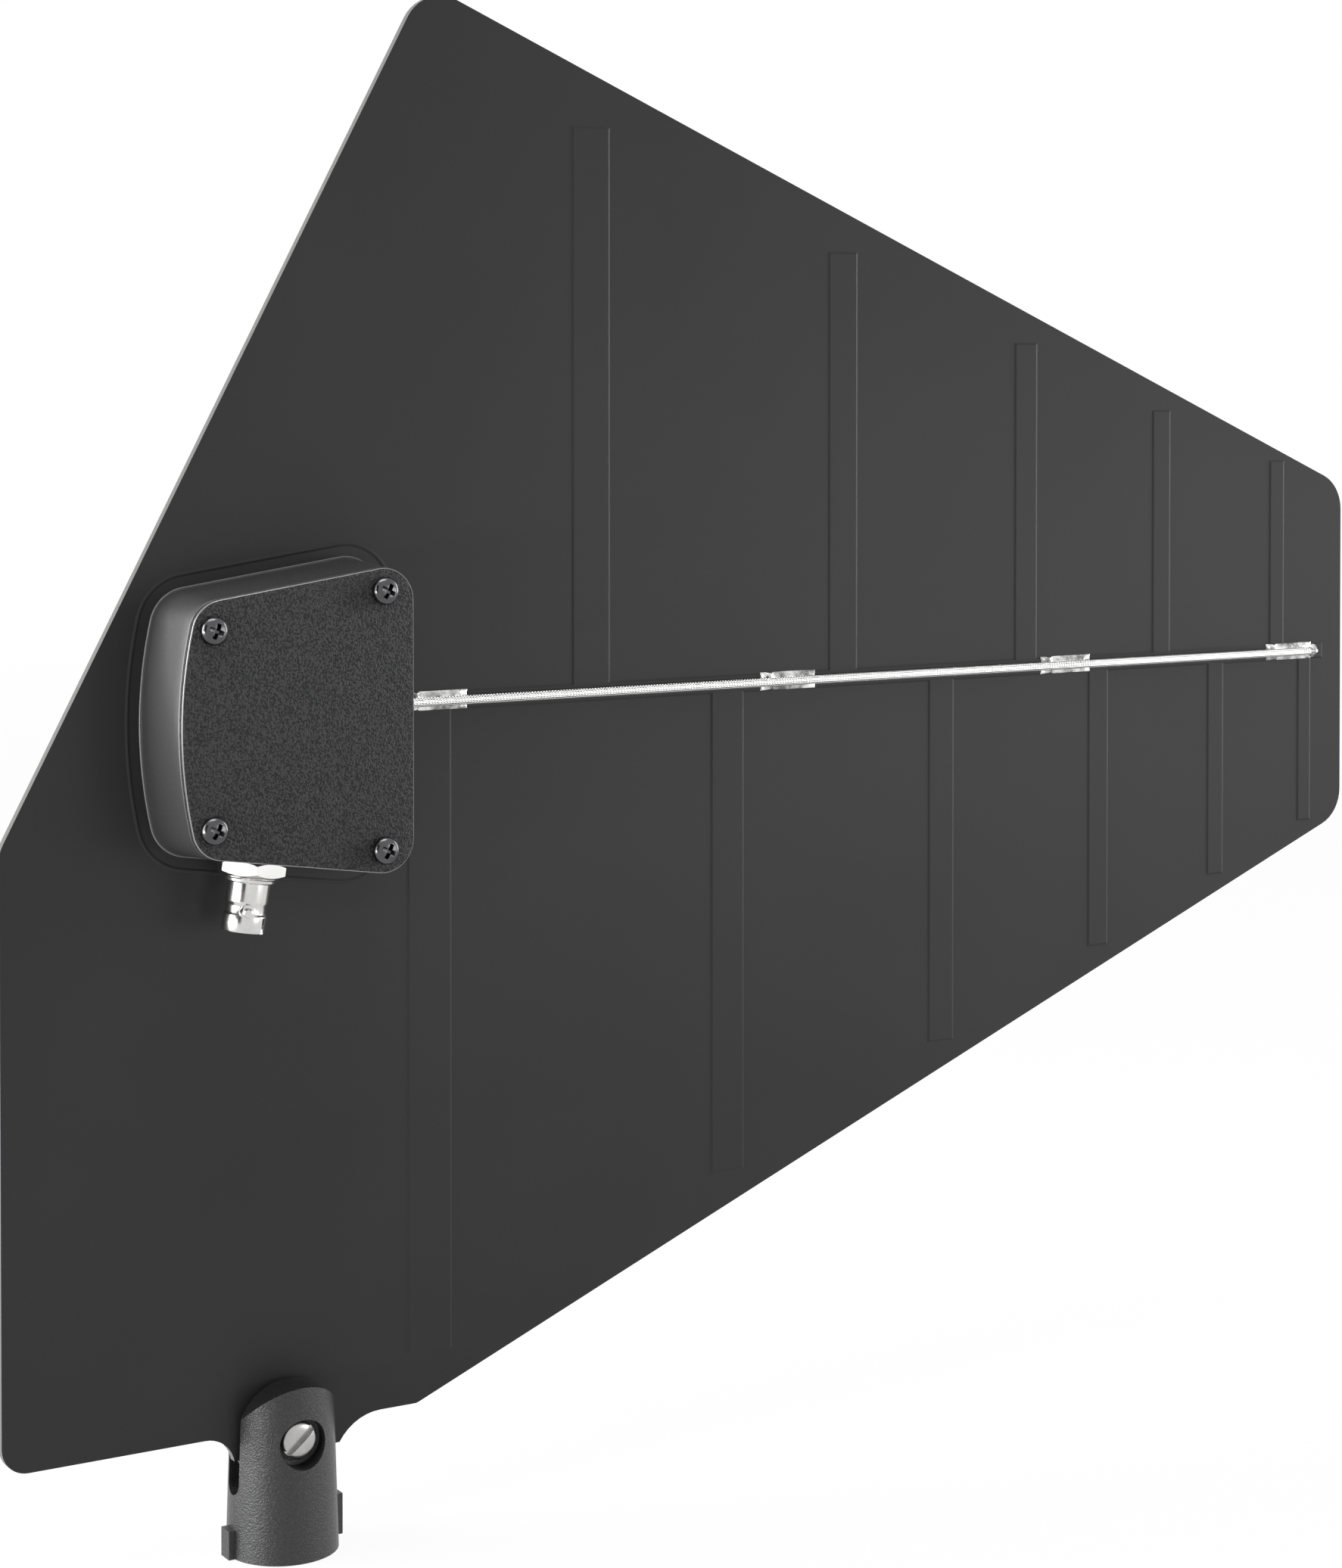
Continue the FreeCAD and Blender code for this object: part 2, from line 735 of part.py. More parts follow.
def make_bnc_body():
    shell = turned_body(
        "BncShell",
        [
            ("Sizes.insulator_radius", TAIL_END),
            ("Sizes.bnc_tail_radius", TAIL_END),
            ("Sizes.bnc_tail_radius", FLANGE_BACK),
            ("Sizes.bnc_flange_radius", FLANGE_BACK),
            ("Sizes.bnc_flange_radius", FLANGE_FRONT),
            ("Sizes.bnc_thread_radius", FLANGE_FRONT),
            ("Sizes.bnc_thread_radius", "Sizes.bnc_thread_end"),
            ("Sizes.bnc_barrel_radius", "Sizes.bnc_thread_end"),
            ("Sizes.bnc_barrel_radius", "Sizes.bnc_waist_start"),
            ("Sizes.bnc_waist_radius", "Sizes.bnc_waist_start + Sizes.bnc_waist_run"),
            ("Sizes.bnc_waist_radius", "Sizes.bnc_collar_start - Sizes.bnc_waist_run / 2"),
            ("Sizes.bnc_collar_radius", "Sizes.bnc_collar_start"),
            ("Sizes.bnc_collar_radius", "Sizes.bnc_mouth"),
            ("Sizes.bnc_bore_radius", "Sizes.bnc_mouth"),
            ("Sizes.bnc_bore_radius", "Sizes.bnc_bore_floor"),
            ("Sizes.insulator_radius", "Sizes.bnc_bore_floor"),
        ],
    )
    studs = []
    for index, turn in enumerate(("Sizes.bnc_turn - 90", "Sizes.bnc_turn + 90")):
        stud = solid(
            "Cylinder",
            f"BayonetStud{index}",
            Radius="Sizes.stud_radius",
            Height="Sizes.bnc_barrel_radius - Sizes.bnc_bore_radius + Sizes.stud_reach",
        )
        reach = "(Sizes.bnc_bore_radius + 0.1)"
        stud.setExpression(
            "Placement",
            f"placement(vector({reach} * cos({turn}); {reach} * sin({turn}); "
            "Sizes.bnc_mouth - Sizes.stud_from_mouth); "
            f"rotation(vector(-1 * sin({turn}); cos({turn}); 0); 90))",
        )
        studs.append(stud)
    slit = solid(
        "Box",
        "CollarSlit",
        Length="Sizes.bnc_barrel_radius * 2",
        Width="Sizes.collar_slit",
        Height="Sizes.bnc_mouth - Sizes.bnc_collar_start",
    )
    slit.setExpression(
        "Placement",
        "placement(vector(0; 0; Sizes.bnc_collar_start + 0.01); "
        "rotation(vector(0; 0; 1); Sizes.bnc_turn - 90 - Sizes.slit_turn))",
    )
    body = cut("bnc_body", fuse("BncStudded", shell, *studs), slit)
    return on_connector_axis(body)


def make_hex_nut(name, flats, height, bore, turn="0"):
    """Hexagon nut standing on z = 0, with its outer face chamfered at 30 degrees."""
    prism = solid(
        "Prism", f"{name}Hexagon", Circumradius=f"{flats} / 2 / cos(30)", Height=height
    )
    prism.Polygon = 6
    place(prism, axis=(0, 0, 1), angle=turn)
    narrow = f"({flats}) / 2 * 0.97"
    wide = f"({flats}) / 2 * 0.97 + ({height}) / tan(30)"
    chamfer = solid(
        "Cone", f"{name}Chamfer", Radius1=wide, Radius2=narrow, Height=height
    )
    hole = solid("Cylinder", f"{name}Bore", Radius=bore, Height=f"({height}) * 2")
    place(hole, z=f"-0.5 * ({height})")
    return cut(name, common(f"{name}Blank", prism, chamfer), hole)


def make_ground_tag():
    """Solder tag under the connector's flange, with its tail bent inwards."""
    ring = solid(
        "Cylinder",
        "TagRing",
        Radius="Sizes.bnc_flange_radius",
        Height="Sizes.tag_thickness",
    )
    tail = solid(
        "Box",
        "TagTail",
        Length="Sizes.tag_thickness",
        Width="Sizes.tag_width",
        Height="Sizes.tag_tail",
    )
    place(
        tail,
        x="Sizes.bnc_flange_radius",
        y="-Sizes.tag_width / 2",
        z="Sizes.tag_thickness - Sizes.tag_tail",
    )
    foot = solid(
        "Box",
        "TagFoot",
        Length="Sizes.bnc_flange_radius + Sizes.tag_thickness",
        Width="Sizes.tag_width",
        Height="Sizes.tag_thickness",
    )
    place(foot, y="-Sizes.tag_width / 2")
    hole = solid(
        "Cylinder",
        "TagHole",
        Radius="Sizes.bnc_thread_radius + Sizes.thread_play",
        Height="Sizes.tag_thickness * 3",
    )
    place(hole, z="-Sizes.tag_thickness")
    tag = cut("TagBlank", fuse("TagPieces", ring, tail, foot), hole)
    place(tag, z=FLANGE_FRONT, axis=(0, 0, 1), angle="180")
    return on_connector_axis(group("bnc_ground_tag", tag))


def make_bnc_parts():
    nut = make_hex_nut(
        "bnc_nut",
        "Sizes.bnc_nut_flats",
        "Sizes.bnc_nut_height",
        "Sizes.bnc_thread_radius + Sizes.thread_play",
        "Sizes.bnc_turn - 90",
    )
    insulator = turned_body(
        "bnc_insulator",
        [
            ("Sizes.contact_radius", TAIL_END),
            ("Sizes.insulator_radius", TAIL_END),
            ("Sizes.insulator_radius", "Sizes.bnc_bore_floor"),
            ("Sizes.insulator_nose_radius", "Sizes.bnc_bore_floor"),
            ("Sizes.insulator_nose_radius", "Sizes.bnc_mouth - Sizes.insulator_recess"),
            ("Sizes.contact_radius", "Sizes.bnc_mouth - Sizes.insulator_recess"),
        ],
    )
    contact = turned_body(
        "bnc_contact",
        [
            ("0", f"{TAIL_END} + Sizes.contact_tail"),
            ("Sizes.contact_bore", f"{TAIL_END} + Sizes.contact_tail"),
            ("Sizes.contact_bore", f"{TAIL_END} - Sizes.contact_tail"),
            ("Sizes.contact_radius", f"{TAIL_END} - Sizes.contact_tail"),
            ("Sizes.contact_radius", "Sizes.bnc_mouth - Sizes.contact_recess"),
            ("Sizes.contact_bore", "Sizes.bnc_mouth - Sizes.contact_recess"),
            ("Sizes.contact_bore", "Sizes.bnc_bore_floor"),
            ("0", "Sizes.bnc_bore_floor"),
        ],
    )
    for piece in (nut, insulator, contact):
        on_connector_axis(piece)
    return [make_bnc_body(), nut, make_ground_tag(), insulator, contact]


# Feed coax, held along its whole route, and the wire that ends it at the nose
def rounded_path(points, radius):
    """Wire of straight runs joined by tangent arcs."""
    edges = []
    start = points[0]
    for corner, after in zip(points[1:-1], points[2:]):
        into = (corner - start).normalize()
        out = (after - corner).normalize()
        bend = into.getAngle(out)
        trim = radius * math.tan(bend / 2)
        first = corner - into * trim
        last = corner + out * trim
        centre_way = (out - into).normalize()
        centre = corner + centre_way * (radius / math.cos(bend / 2))
        middle = centre - centre_way * radius
        edges.append(Part.LineSegment(start, first).toShape())
        edges.append(Part.Arc(first, middle, last).toShape())
        start = last
    edges.append(Part.LineSegment(start, points[-1]).toShape())
    return Part.Wire(edges)


def make_round_wire(name, points, wire_radius, bend_radius):
    """Solid of round section along a path."""
    path = rounded_path(points, bend_radius)
    section = Part.Wire(
        Part.Circle(points[0], points[1] - points[0], wire_radius).toShape()
    )
    feature = doc.addObject("Part::Feature", name)
    feature.Label = name
    feature.Shape = path.makePipeShell([section], True, True)
    return feature


def connector_point(along):
    """Point on the connector's axis, at an expression along it."""
    slope = math.radians(number("Sizes.housing_slope"))
    foot = FreeCAD.Vector(
        number("Sizes.bnc_along"),
        -number(f"{FRONT} + {BNC_DEPTH}"),
        number(f"{HOUSING_LEVEL} - {half_height('Sizes.bnc_along')}"),
    )
    outwards = FreeCAD.Vector(-math.sin(slope), 0, -math.cos(slope))
    return foot + outwards * number(along)


def make_coax_parts():
    level = number("Sizes.boom_height")
    out = -number(COAX_OUT)
    coax = make_round_wire(
        "feed_coax",
        [
            FreeCAD.Vector(number("Sizes.coax_end"), out, level),
            FreeCAD.Vector(number("Sizes.coax_turn_along"), out, level),
            connector_point(f"{TAIL_END} - Sizes.coax_stop - Sizes.coax_lead"),
            connector_point(f"{TAIL_END} - Sizes.coax_stop"),
        ],
        number("Sizes.coax_radius"),
        number("Sizes.coax_bend"),
    )
    lead = solid(
        "Cylinder",
        "LinkLead",
        Radius="Sizes.core_wire_radius",
        Height="Sizes.link_along - Sizes.coax_end",
    )
    place(
        lead,
        x="Sizes.coax_end",
        y=f"-1 * ({COAX_OUT})",
        z="Sizes.boom_height",
        axis=(0, 1, 0),
        angle="90",
    )
    rear = f"({FRONT} + Sizes.relief + Sizes.rear_drop_height * 0.7)"
    through = solid(
        "Cylinder",
        "LinkPin",
        Radius="Sizes.core_wire_radius",
        Height=f"{COAX_OUT} + Sizes.core_wire_radius * 1.3 + {rear}",
    )
    place(
        through,
        x="Sizes.link_along",
        y=rear,
        z="Sizes.boom_height",
        axis=(1, 0, 0),
        angle="90",
    )
    link = fuse("nose_link", lead, through)
    output = doc.addObject("Part::Cylinder", "output_link")
    output.Label = "output_link"
    bind(
        output,
        Radius="Sizes.core_wire_radius",
        Height="Sizes.coax_stop + Sizes.contact_tail * 0.4",
    )
    pin = group("output_wire", output)
    place(output, z=f"{TAIL_END} - Sizes.coax_stop")
    on_connector_axis(pin)
    output.Label = "OutputWireCore"
    tube = solid(
        "Cylinder", "DielectricTube", Radius="Sizes.dielectric_radius",
        Height="Sizes.dielectric_length",
    )
    bore = solid(
        "Cylinder", "DielectricBore", Radius="Sizes.core_wire_radius",
        Height="Sizes.dielectric_length",
    )
    dielectric = cut("coax_dielectric", tube, bore)
    place(
        dielectric,
        x="Sizes.coax_end",
        y=f"-1 * ({COAX_OUT})",
        z="Sizes.boom_height",
        axis=(0, 1, 0),
        angle="90",
    )
    return [coax, link, pin, dielectric]


def pad_distance(order):
    """The pads close up towards the nose in the ratio of the array."""
    return (
        f"(Sizes.first_pad + Sizes.pad_pitch * (1 - Sizes.array_ratio ^ {order})"
        " / (1 - Sizes.array_ratio))"
    )


def make_solder_joints(link):
    """Tinned pads with solder beads that hold the coax, and the drops at the nose."""
    surface = f"({FRONT} + Sizes.relief)"
    joints = []
    for order in range(PAD_COUNT):
        tinned = solid(
            "Box",
            f"TinnedPad{order}",
            Length="Sizes.pad_length",
            Width="Sizes.pad_thickness",
            Height="Sizes.pad_width",
        )
        place(
            tinned,
            x=f"{pad_distance(order)} - Sizes.pad_length / 2",
            y=f"-1 * ({surface} + Sizes.pad_thickness)",
            z="Sizes.boom_height - Sizes.pad_width / 2",
        )
        bead = solid(
            "Wedge",
            f"SolderBead{order}",
            Xmin="-Sizes.bead_length / 2",
            Xmax="Sizes.bead_length / 2",
            Zmin="-Sizes.bead_width / 2",
            Zmax="Sizes.bead_width / 2",
            X2min="-Sizes.bead_length / 2 + Sizes.coax_radius",
            X2max="Sizes.bead_length / 2 - Sizes.coax_radius",
            Z2min="-Sizes.coax_radius * 1.15",
            Z2max="Sizes.coax_radius * 1.15",
            Ymin="0",
            Ymax="Sizes.coax_radius",
        )
        place(
            bead,
            x=pad_distance(order),
            y=f"-1 * ({surface} + Sizes.pad_thickness)",
            z="Sizes.boom_height",
            axis=(1, 0, 0),
            angle="180",
        )
        run = solid(
            "Cylinder",
            f"CoaxRun{order}",
            Radius="Sizes.coax_radius",
            Height="Sizes.pad_length * 2",
        )
        place(
            run,
            x=f"{pad_distance(order)} - Sizes.pad_length",
            y=f"-1 * ({COAX_OUT})",
            z="Sizes.boom_height",
            axis=(0, 1, 0),
            angle="90",
        )
        whole = fuse(f"Bead{order}", tinned, bead)
        joints.append(cut(f"solder_joint_{order + 1}", whole, run))
    for name, side in (("nose_drop", -1), ("rear_drop", 1)):
        drop = solid(
            "Cone",
            f"{name}_cone",
            Radius1=f"Sizes.{name}_radius",
            Radius2="Sizes.core_wire_radius * 2",
            Height=f"Sizes.{name}_height",
        )
        place(
            drop,
            x="Sizes.link_along",
            y=f"{side} * {surface}",
            z="Sizes.boom_height",
            axis=(1, 0, 0),
            angle=f"{-90 * side}",
        )
        joints.append(cut(name, drop, link))
    return group("solder_joints", *joints)


# Stand adapter with its threaded insert, pivot screw, nut and washers
def make_adapter_blank():
    """Tapered barrel whose top is rounded about the pivot."""
    top = "(Sizes.pivot_height + Sizes.cheek_round)"
    barrel = solid(
        "Cone",
        "AdapterBarrel",
        Radius1="Sizes.mouth_radius",
        Radius2="Sizes.neck_radius",
        Height=top,
    )
    lower = solid(
        "Cylinder",
        "AdapterLower",
        Radius="Sizes.mouth_radius * 2",
        Height="Sizes.pivot_height",
    )
    crown = solid(
        "Cylinder",
        "AdapterCrown",
        Radius="Sizes.cheek_round",
        Height="Sizes.mouth_radius * 4",
    )
    place(
        crown,
        y="Sizes.mouth_radius * 2",
        z="Sizes.pivot_height",
        axis=(1, 0, 0),
        angle="90",
    )
    rounded = common("AdapterRounded", barrel, fuse("AdapterEnvelope", lower, crown))
    lugs = []
    for name, side, foot, head in (
        ("RearLug", -1, "0", "Sizes.rear_lug_top"),
        ("FrontLug", 1, "Sizes.front_lug_foot", "Sizes.front_lug_top"),
    ):
        lug = solid(
            "Box",
            name,
            Length="Sizes.mouth_radius / 2 + Sizes.lug_proud",
            Width="Sizes.lug_width",
            Height=f"{head} - {foot}",
        )
        inner = "Sizes.mouth_radius / 2" if side > 0 else "-Sizes.mouth_radius - Sizes.lug_proud"
        place(lug, x=inner, y="-Sizes.lug_width / 2", z=foot)
        lugs.append(lug)
    return fuse("AdapterBlank", rounded, *lugs)


def along_y(obj, start, z="Sizes.pivot_height"):
    """Lay a piece drawn along z along +Y, from a place on the Y axis."""
    return place(obj, y=start, z=z, axis=(1, 0, 0), angle="-90")


def make_stand_adapter():
    slot = solid(
        "Box",
        "SlotSides",
        Length="Sizes.mouth_radius * 4",
        Width="Sizes.slot_width",
        Height="Sizes.pivot_height * 2",
    )
    place(
        slot,
        x="-Sizes.mouth_radius * 2",
        y="-Sizes.slot_width / 2",
        z=f"{SLOT_FLOOR} + Sizes.slot_width / 2",
    )
    floor = solid(
        "Cylinder",
        "SlotFloor",
        Radius="Sizes.slot_width / 2",
        Height="Sizes.mouth_radius * 4",
    )
    place(
        floor,
        x="-Sizes.mouth_radius * 2",
        z=f"{SLOT_FLOOR} + Sizes.slot_width / 2",
        axis=(0, 1, 0),
        angle="90",
    )
    core = solid(
        "Cylinder", "InsertPocket", Radius="Sizes.core_radius", Height="Sizes.insert_length"
    )
    pivot = solid(
        "Cylinder",
        "PivotHole",
        Radius="Sizes.pivot_diameter / 2 + Sizes.pivot_play",
        Height="Sizes.mouth_radius * 4",
    )
    along_y(pivot, "-2 * Sizes.mouth_radius")
    recess = solid(
        "Cylinder", "HeadRecess", Radius="Sizes.recess_radius", Height="Sizes.mouth_radius"
    )
    along_y(recess, "-Sizes.recess_floor - Sizes.mouth_radius")
    nut_pocket = solid(
        "Prism",
        "NutPocket",
        Circumradius="(Sizes.pivot_nut_flats / 2 + Sizes.nut_clearance) / cos(30)",
        Height="Sizes.mouth_radius",
    )
    nut_pocket.Polygon = 6
    along_y(nut_pocket, "Sizes.recess_floor")
    tools = fuse("AdapterTools", slot, floor, core, pivot, recess, nut_pocket)
    return cut("stand_adapter", make_adapter_blank(), tools)


def make_thread_insert():
    return turned_body(
        "thread_insert",
        [
            ("Sizes.thread_radius", "0"),
            ("Sizes.core_radius", "0"),
            ("Sizes.core_radius", "Sizes.insert_length"),
            ("Sizes.thread_radius", "Sizes.insert_length"),
        ],
    )


def make_pivot_parts():
    head = solid(
        "Cylinder", "PivotHead", Radius="Sizes.head_radius", Height="Sizes.head_height"
    )
    shank_length = "(Sizes.recess_floor * 2 + Sizes.pivot_nut_height + Sizes.screw_tip)"
    shank = solid(
        "Cylinder",
        "PivotShank",
        Radius="Sizes.pivot_diameter / 2",
        Height=f"{shank_length} + Sizes.head_height / 2",
    )
    place(shank, z="Sizes.head_height / 2")
    driver = solid(
        "Box",
        "PivotSlot",
        Length="Sizes.head_radius * 4",
        Width="Sizes.driver_width",
        Height="Sizes.driver_depth * 2",
    )
    driver.setExpression(
        "Placement",
        "placement(rotation(vector(0; 0; 1); Sizes.driver_turn) * "
        "vector(-2 * Sizes.head_radius; -Sizes.driver_width / 2; -Sizes.driver_depth); "
        "rotation(vector(0; 0; 1); Sizes.driver_turn))",
    )
    screw = cut("pivot_screw", fuse("PivotBlank", head, shank), driver)
    along_y(screw, "-Sizes.recess_floor - Sizes.head_height")
    nut = make_hex_nut(
        "pivot_nut",
        "Sizes.pivot_nut_flats",
        "Sizes.pivot_nut_height",
        "Sizes.pivot_diameter / 2 + Sizes.pivot_play",
    )
    along_y(nut, "Sizes.recess_floor")
    washers = []
    inner = f"({FRONT} + Sizes.tab_play)"
    for name, start in (
        ("front_washer", f"-1 * {CHEEK_GAP}"),
        ("rear_washer", inner),
    ):
        disc = solid(
            "Cylinder", f"{name}_disc", Radius="Sizes.washer_radius",
            Height=f"{CHEEK_GAP} - {inner}",
        )
        hole = solid(
            "Cylinder", f"{name}_hole",
            Radius="Sizes.pivot_diameter / 2 + Sizes.pivot_play",
            Height=f"{CHEEK_GAP} - {inner}",
        )
        washers.append(along_y(cut(name, disc, hole), start))
    return [screw, nut, *washers]


def export(nodes):
    doc.recompute()
    for obj in doc.Objects:
        if "Invalid" in obj.State or "Error" in obj.State:
            raise RuntimeError(f"{obj.Label} failed to build: {obj.State}")
    os.makedirs("parts", exist_ok=True)
    for node in nodes:
        if node.Shape.isNull() or not node.Shape.isValid() or not node.Shape.Solids:
            raise RuntimeError(f"{node.Label} has no valid solid")
        node.Shape.exportStep(f"parts/{node.Label}.step")
        print(node.Label, len(node.Shape.Solids), round(node.Shape.Volume, 2))


coax_parts = make_coax_parts()
export(
    [
        make_antenna_panel(),
        make_housing_frame(),
        make_housing_cover(),
        *make_screws(),
        *make_bnc_parts(),
        *coax_parts,
        make_solder_joints(coax_parts[1]),
        make_stand_adapter(),
        make_thread_insert(),
        *make_pivot_parts(),
    ]
)
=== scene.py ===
"""Looks of a paddle-shaped log periodic antenna on its tilting stand adapter.

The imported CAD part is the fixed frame. Each class below finishes or replaces some of
its nodes: the coated board and its array, the coax and its solder, the connector
housing, the bayonet connector and the stand adapter. All lengths in the classes are
millimetres, and every mesh is written in metres.
"""

import logging
import math
from abc import ABC, abstractmethod
from collections.abc import Iterable, Sequence
from dataclasses import dataclass
from enum import Enum
from functools import reduce

import bmesh
import bpy
from mathutils import Matrix, Vector


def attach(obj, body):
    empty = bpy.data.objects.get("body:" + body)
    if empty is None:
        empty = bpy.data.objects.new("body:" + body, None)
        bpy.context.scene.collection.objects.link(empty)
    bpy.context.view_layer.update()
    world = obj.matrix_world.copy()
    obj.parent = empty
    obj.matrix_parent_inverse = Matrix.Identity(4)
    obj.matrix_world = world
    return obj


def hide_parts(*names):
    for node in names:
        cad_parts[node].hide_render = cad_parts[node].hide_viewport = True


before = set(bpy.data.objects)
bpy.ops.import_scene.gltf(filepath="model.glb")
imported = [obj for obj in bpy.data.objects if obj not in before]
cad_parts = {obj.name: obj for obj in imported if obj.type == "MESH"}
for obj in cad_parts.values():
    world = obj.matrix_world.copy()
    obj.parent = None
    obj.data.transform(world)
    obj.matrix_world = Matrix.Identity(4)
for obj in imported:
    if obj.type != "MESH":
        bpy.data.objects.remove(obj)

logging.basicConfig(level=logging.INFO, format="%(levelname)s %(message)s")
log = logging.getLogger("antenna")

MM = 0.001
WHITE = (1.0, 1.0, 1.0, 1.0)
NATURAL_BASE = 2.718
Colour = tuple[float, float, float]
Point = tuple[float, float, float]
Pair = tuple[float, float]
Socket = bpy.types.NodeSocket
Solid = bmesh.types.BMesh
Thing = bpy.types.Object


class Body(Enum):
    """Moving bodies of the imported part."""

    ADAPTER = "adapter"
    ANTENNA = "antenna"


class Slot(Enum):
    """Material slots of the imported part."""

    BOARD = "coated_board"
    SOLDER = "solder"
    BRAID = "tinned_braid"
    COPPER = "copper_wire"
    DIELECTRIC = "white_dielectric"
    HOUSING = "satin_housing"
    COVER = "textured_cover"
    SCREW = "black_screw"
    NICKEL = "nickel_connector"
    TAG = "tinned_tag"
    GOLD = "gold_contact"
    ADAPTER = "adapter_plastic"
    BRASS = "brass_insert"
    STEEL = "steel_screw"
    WASHER = "washer_plastic"


# Node trees
class NodeWriter:
    """Short calls that add and join the nodes of one tree."""

    def __init__(self, tree: bpy.types.NodeTree) -> None:
        """Write into a tree."""
        self.tree = tree

    def add(
        self, kind: str, settings: dict[str, object] | None = None, **inputs: object
    ) -> bpy.types.Node:
        """Add a node, with its inputs set or joined.

        Args:
            kind: Blender's name of the node type.
            settings: Properties of the node.
            inputs: Input names with underscores for spaces, and their values or sockets.

        Returns:
            The new node.
        """
        node = self.tree.nodes.new(kind)
        for name, value in (settings or {}).items():
            setattr(node, name, value)
        self.fill(node, inputs)
        return node

    def fill(self, node: bpy.types.Node, inputs: dict[str, object]) -> None:
        """Set or join a node's inputs, named with underscores for spaces."""
        for name, value in inputs.items():
            self.feed(node.inputs[name.replace("_", " ")], value)

    def feed(self, socket: Socket, value: object) -> None:
        """Set a socket, or join it to the output given as the value.

        Args:
            socket: Input of a node.
            value: Its value, or the output to join.
        """
        if isinstance(value, Socket):
            self.tree.links.new(value, socket)
        else:
            socket.default_value = value

    def math(self, operation: str, *values: object) -> Socket:
        """Combine numbers.

        Args:
            operation: Name of the Math operation.
            values: Numbers or sockets.

        Returns:
            The result's socket.
        """
        node = self.add("ShaderNodeMath", {"operation": operation})
        for socket, value in zip(node.inputs, values):
            self.feed(socket, value)
        return node.outputs[0]

    def product(self, *values: object) -> Socket:
        """Multiply two or more numbers."""
        return reduce(lambda first, second: self.math("MULTIPLY", first, second), values)

    def parts(self, vector: object) -> bpy.types.NodeOutputs:
        """Split a vector into its X, Y and Z."""
        return self.add("ShaderNodeSeparateXYZ", Vector=vector).outputs


# Finishes
class ShaderGraph(NodeWriter):
    """Nodes of one material, about its Principled shader."""

    def __init__(self, name: str) -> None:
        """Start a material.

        Args:
            name: Name of the material.
        """
        self.material = bpy.data.materials.new(name)
        self.material.use_nodes = True
        super().__init__(self.material.node_tree)
        self.shader = self.tree.nodes["Principled BSDF"]
        self.place = self.add("ShaderNodeTexCoord").outputs

    def noise(self, size: float, detail: float = 3.0, rough: float = 0.55) -> Socket:
        """Noise on object coordinates.

        Args:
            size: Size of a grain in millimetres.
            detail: Number of octaves.
            rough: Share of the finer octaves.

        Returns:
            Noise value between 0 and 1.
        """
        node = self.add(
            "ShaderNodeTexNoise",
            Vector=self.place["Object"],
            Scale=1.0 / (size * MM),
            Detail=detail,
            Roughness=rough,
        )
        return node.outputs["Fac"]

    def spread(self, value: object, low: float, high: float) -> Socket:
        """Map a value between 0.3 and 0.7 onto a range.

        Args:
            value: Socket to map.
            low: Result at 0.3.
            high: Result at 0.7.

        Returns:
            The mapped socket.
        """
        node = self.add(
            "ShaderNodeMapRange", Value=value, From_Min=0.3, From_Max=0.7, To_Min=low, To_Max=high
        )
        return node.outputs["Result"]

    def tint(self, share: object, first: object, second: Colour) -> Socket:
        """Mix two colours.

        Args:
            share: Share of the second colour.
            first: Colour at 0, or its socket.
            second: Colour at 1.

        Returns:
            The mixed colour's socket.
        """
        node = self.add("ShaderNodeMix", {"data_type": "RGBA"}, Factor=share, B=(*second, 1.0))
        if not isinstance(first, Socket):
            first = (*first, 1.0)
        self.feed(node.inputs["A"], first)
        return node.outputs["Result"]

    def bump(self, height: object, depth: float, under: object = None) -> Socket:
        """Turn a height into a bumped normal.

        Args:
            height: Socket with the height between 0 and 1.
            depth: Depth in millimetres.
            under: Normal of a coarser bump below this one.

        Returns:
            The normal's socket.
        """
        node = self.add("ShaderNodeBump", Height=height, Strength=1.0, Distance=depth * MM)
        if under is not None:
            self.feed(node.inputs["Normal"], under)
        return node.outputs["Normal"]

    def set(self, **inputs: object) -> None:
        """Set or join inputs of the Principled shader."""
        self.fill(self.shader, inputs)


@dataclass(frozen=True)
class Finish(ABC):
    """A surface finish that makes one material."""

    name: str
    slot: Slot

    @abstractmethod
    def paint(self, graph: ShaderGraph) -> None:
        """Build the finish in a material's graph."""

    def material(self) -> bpy.types.Material:
        """Make the material, or take it if it is there already.

        Returns:
            The material.
        """
        label = f"{self.name}_finish"
        made = bpy.data.materials.get(label)
        if made is None:
            graph = ShaderGraph(label)
            self.paint(graph)
            made = graph.material
        return made


def shaded(colour: Colour, share: float) -> Colour:
    """Make a colour darker or lighter by a factor."""
    return tuple(part * share for part in colour)


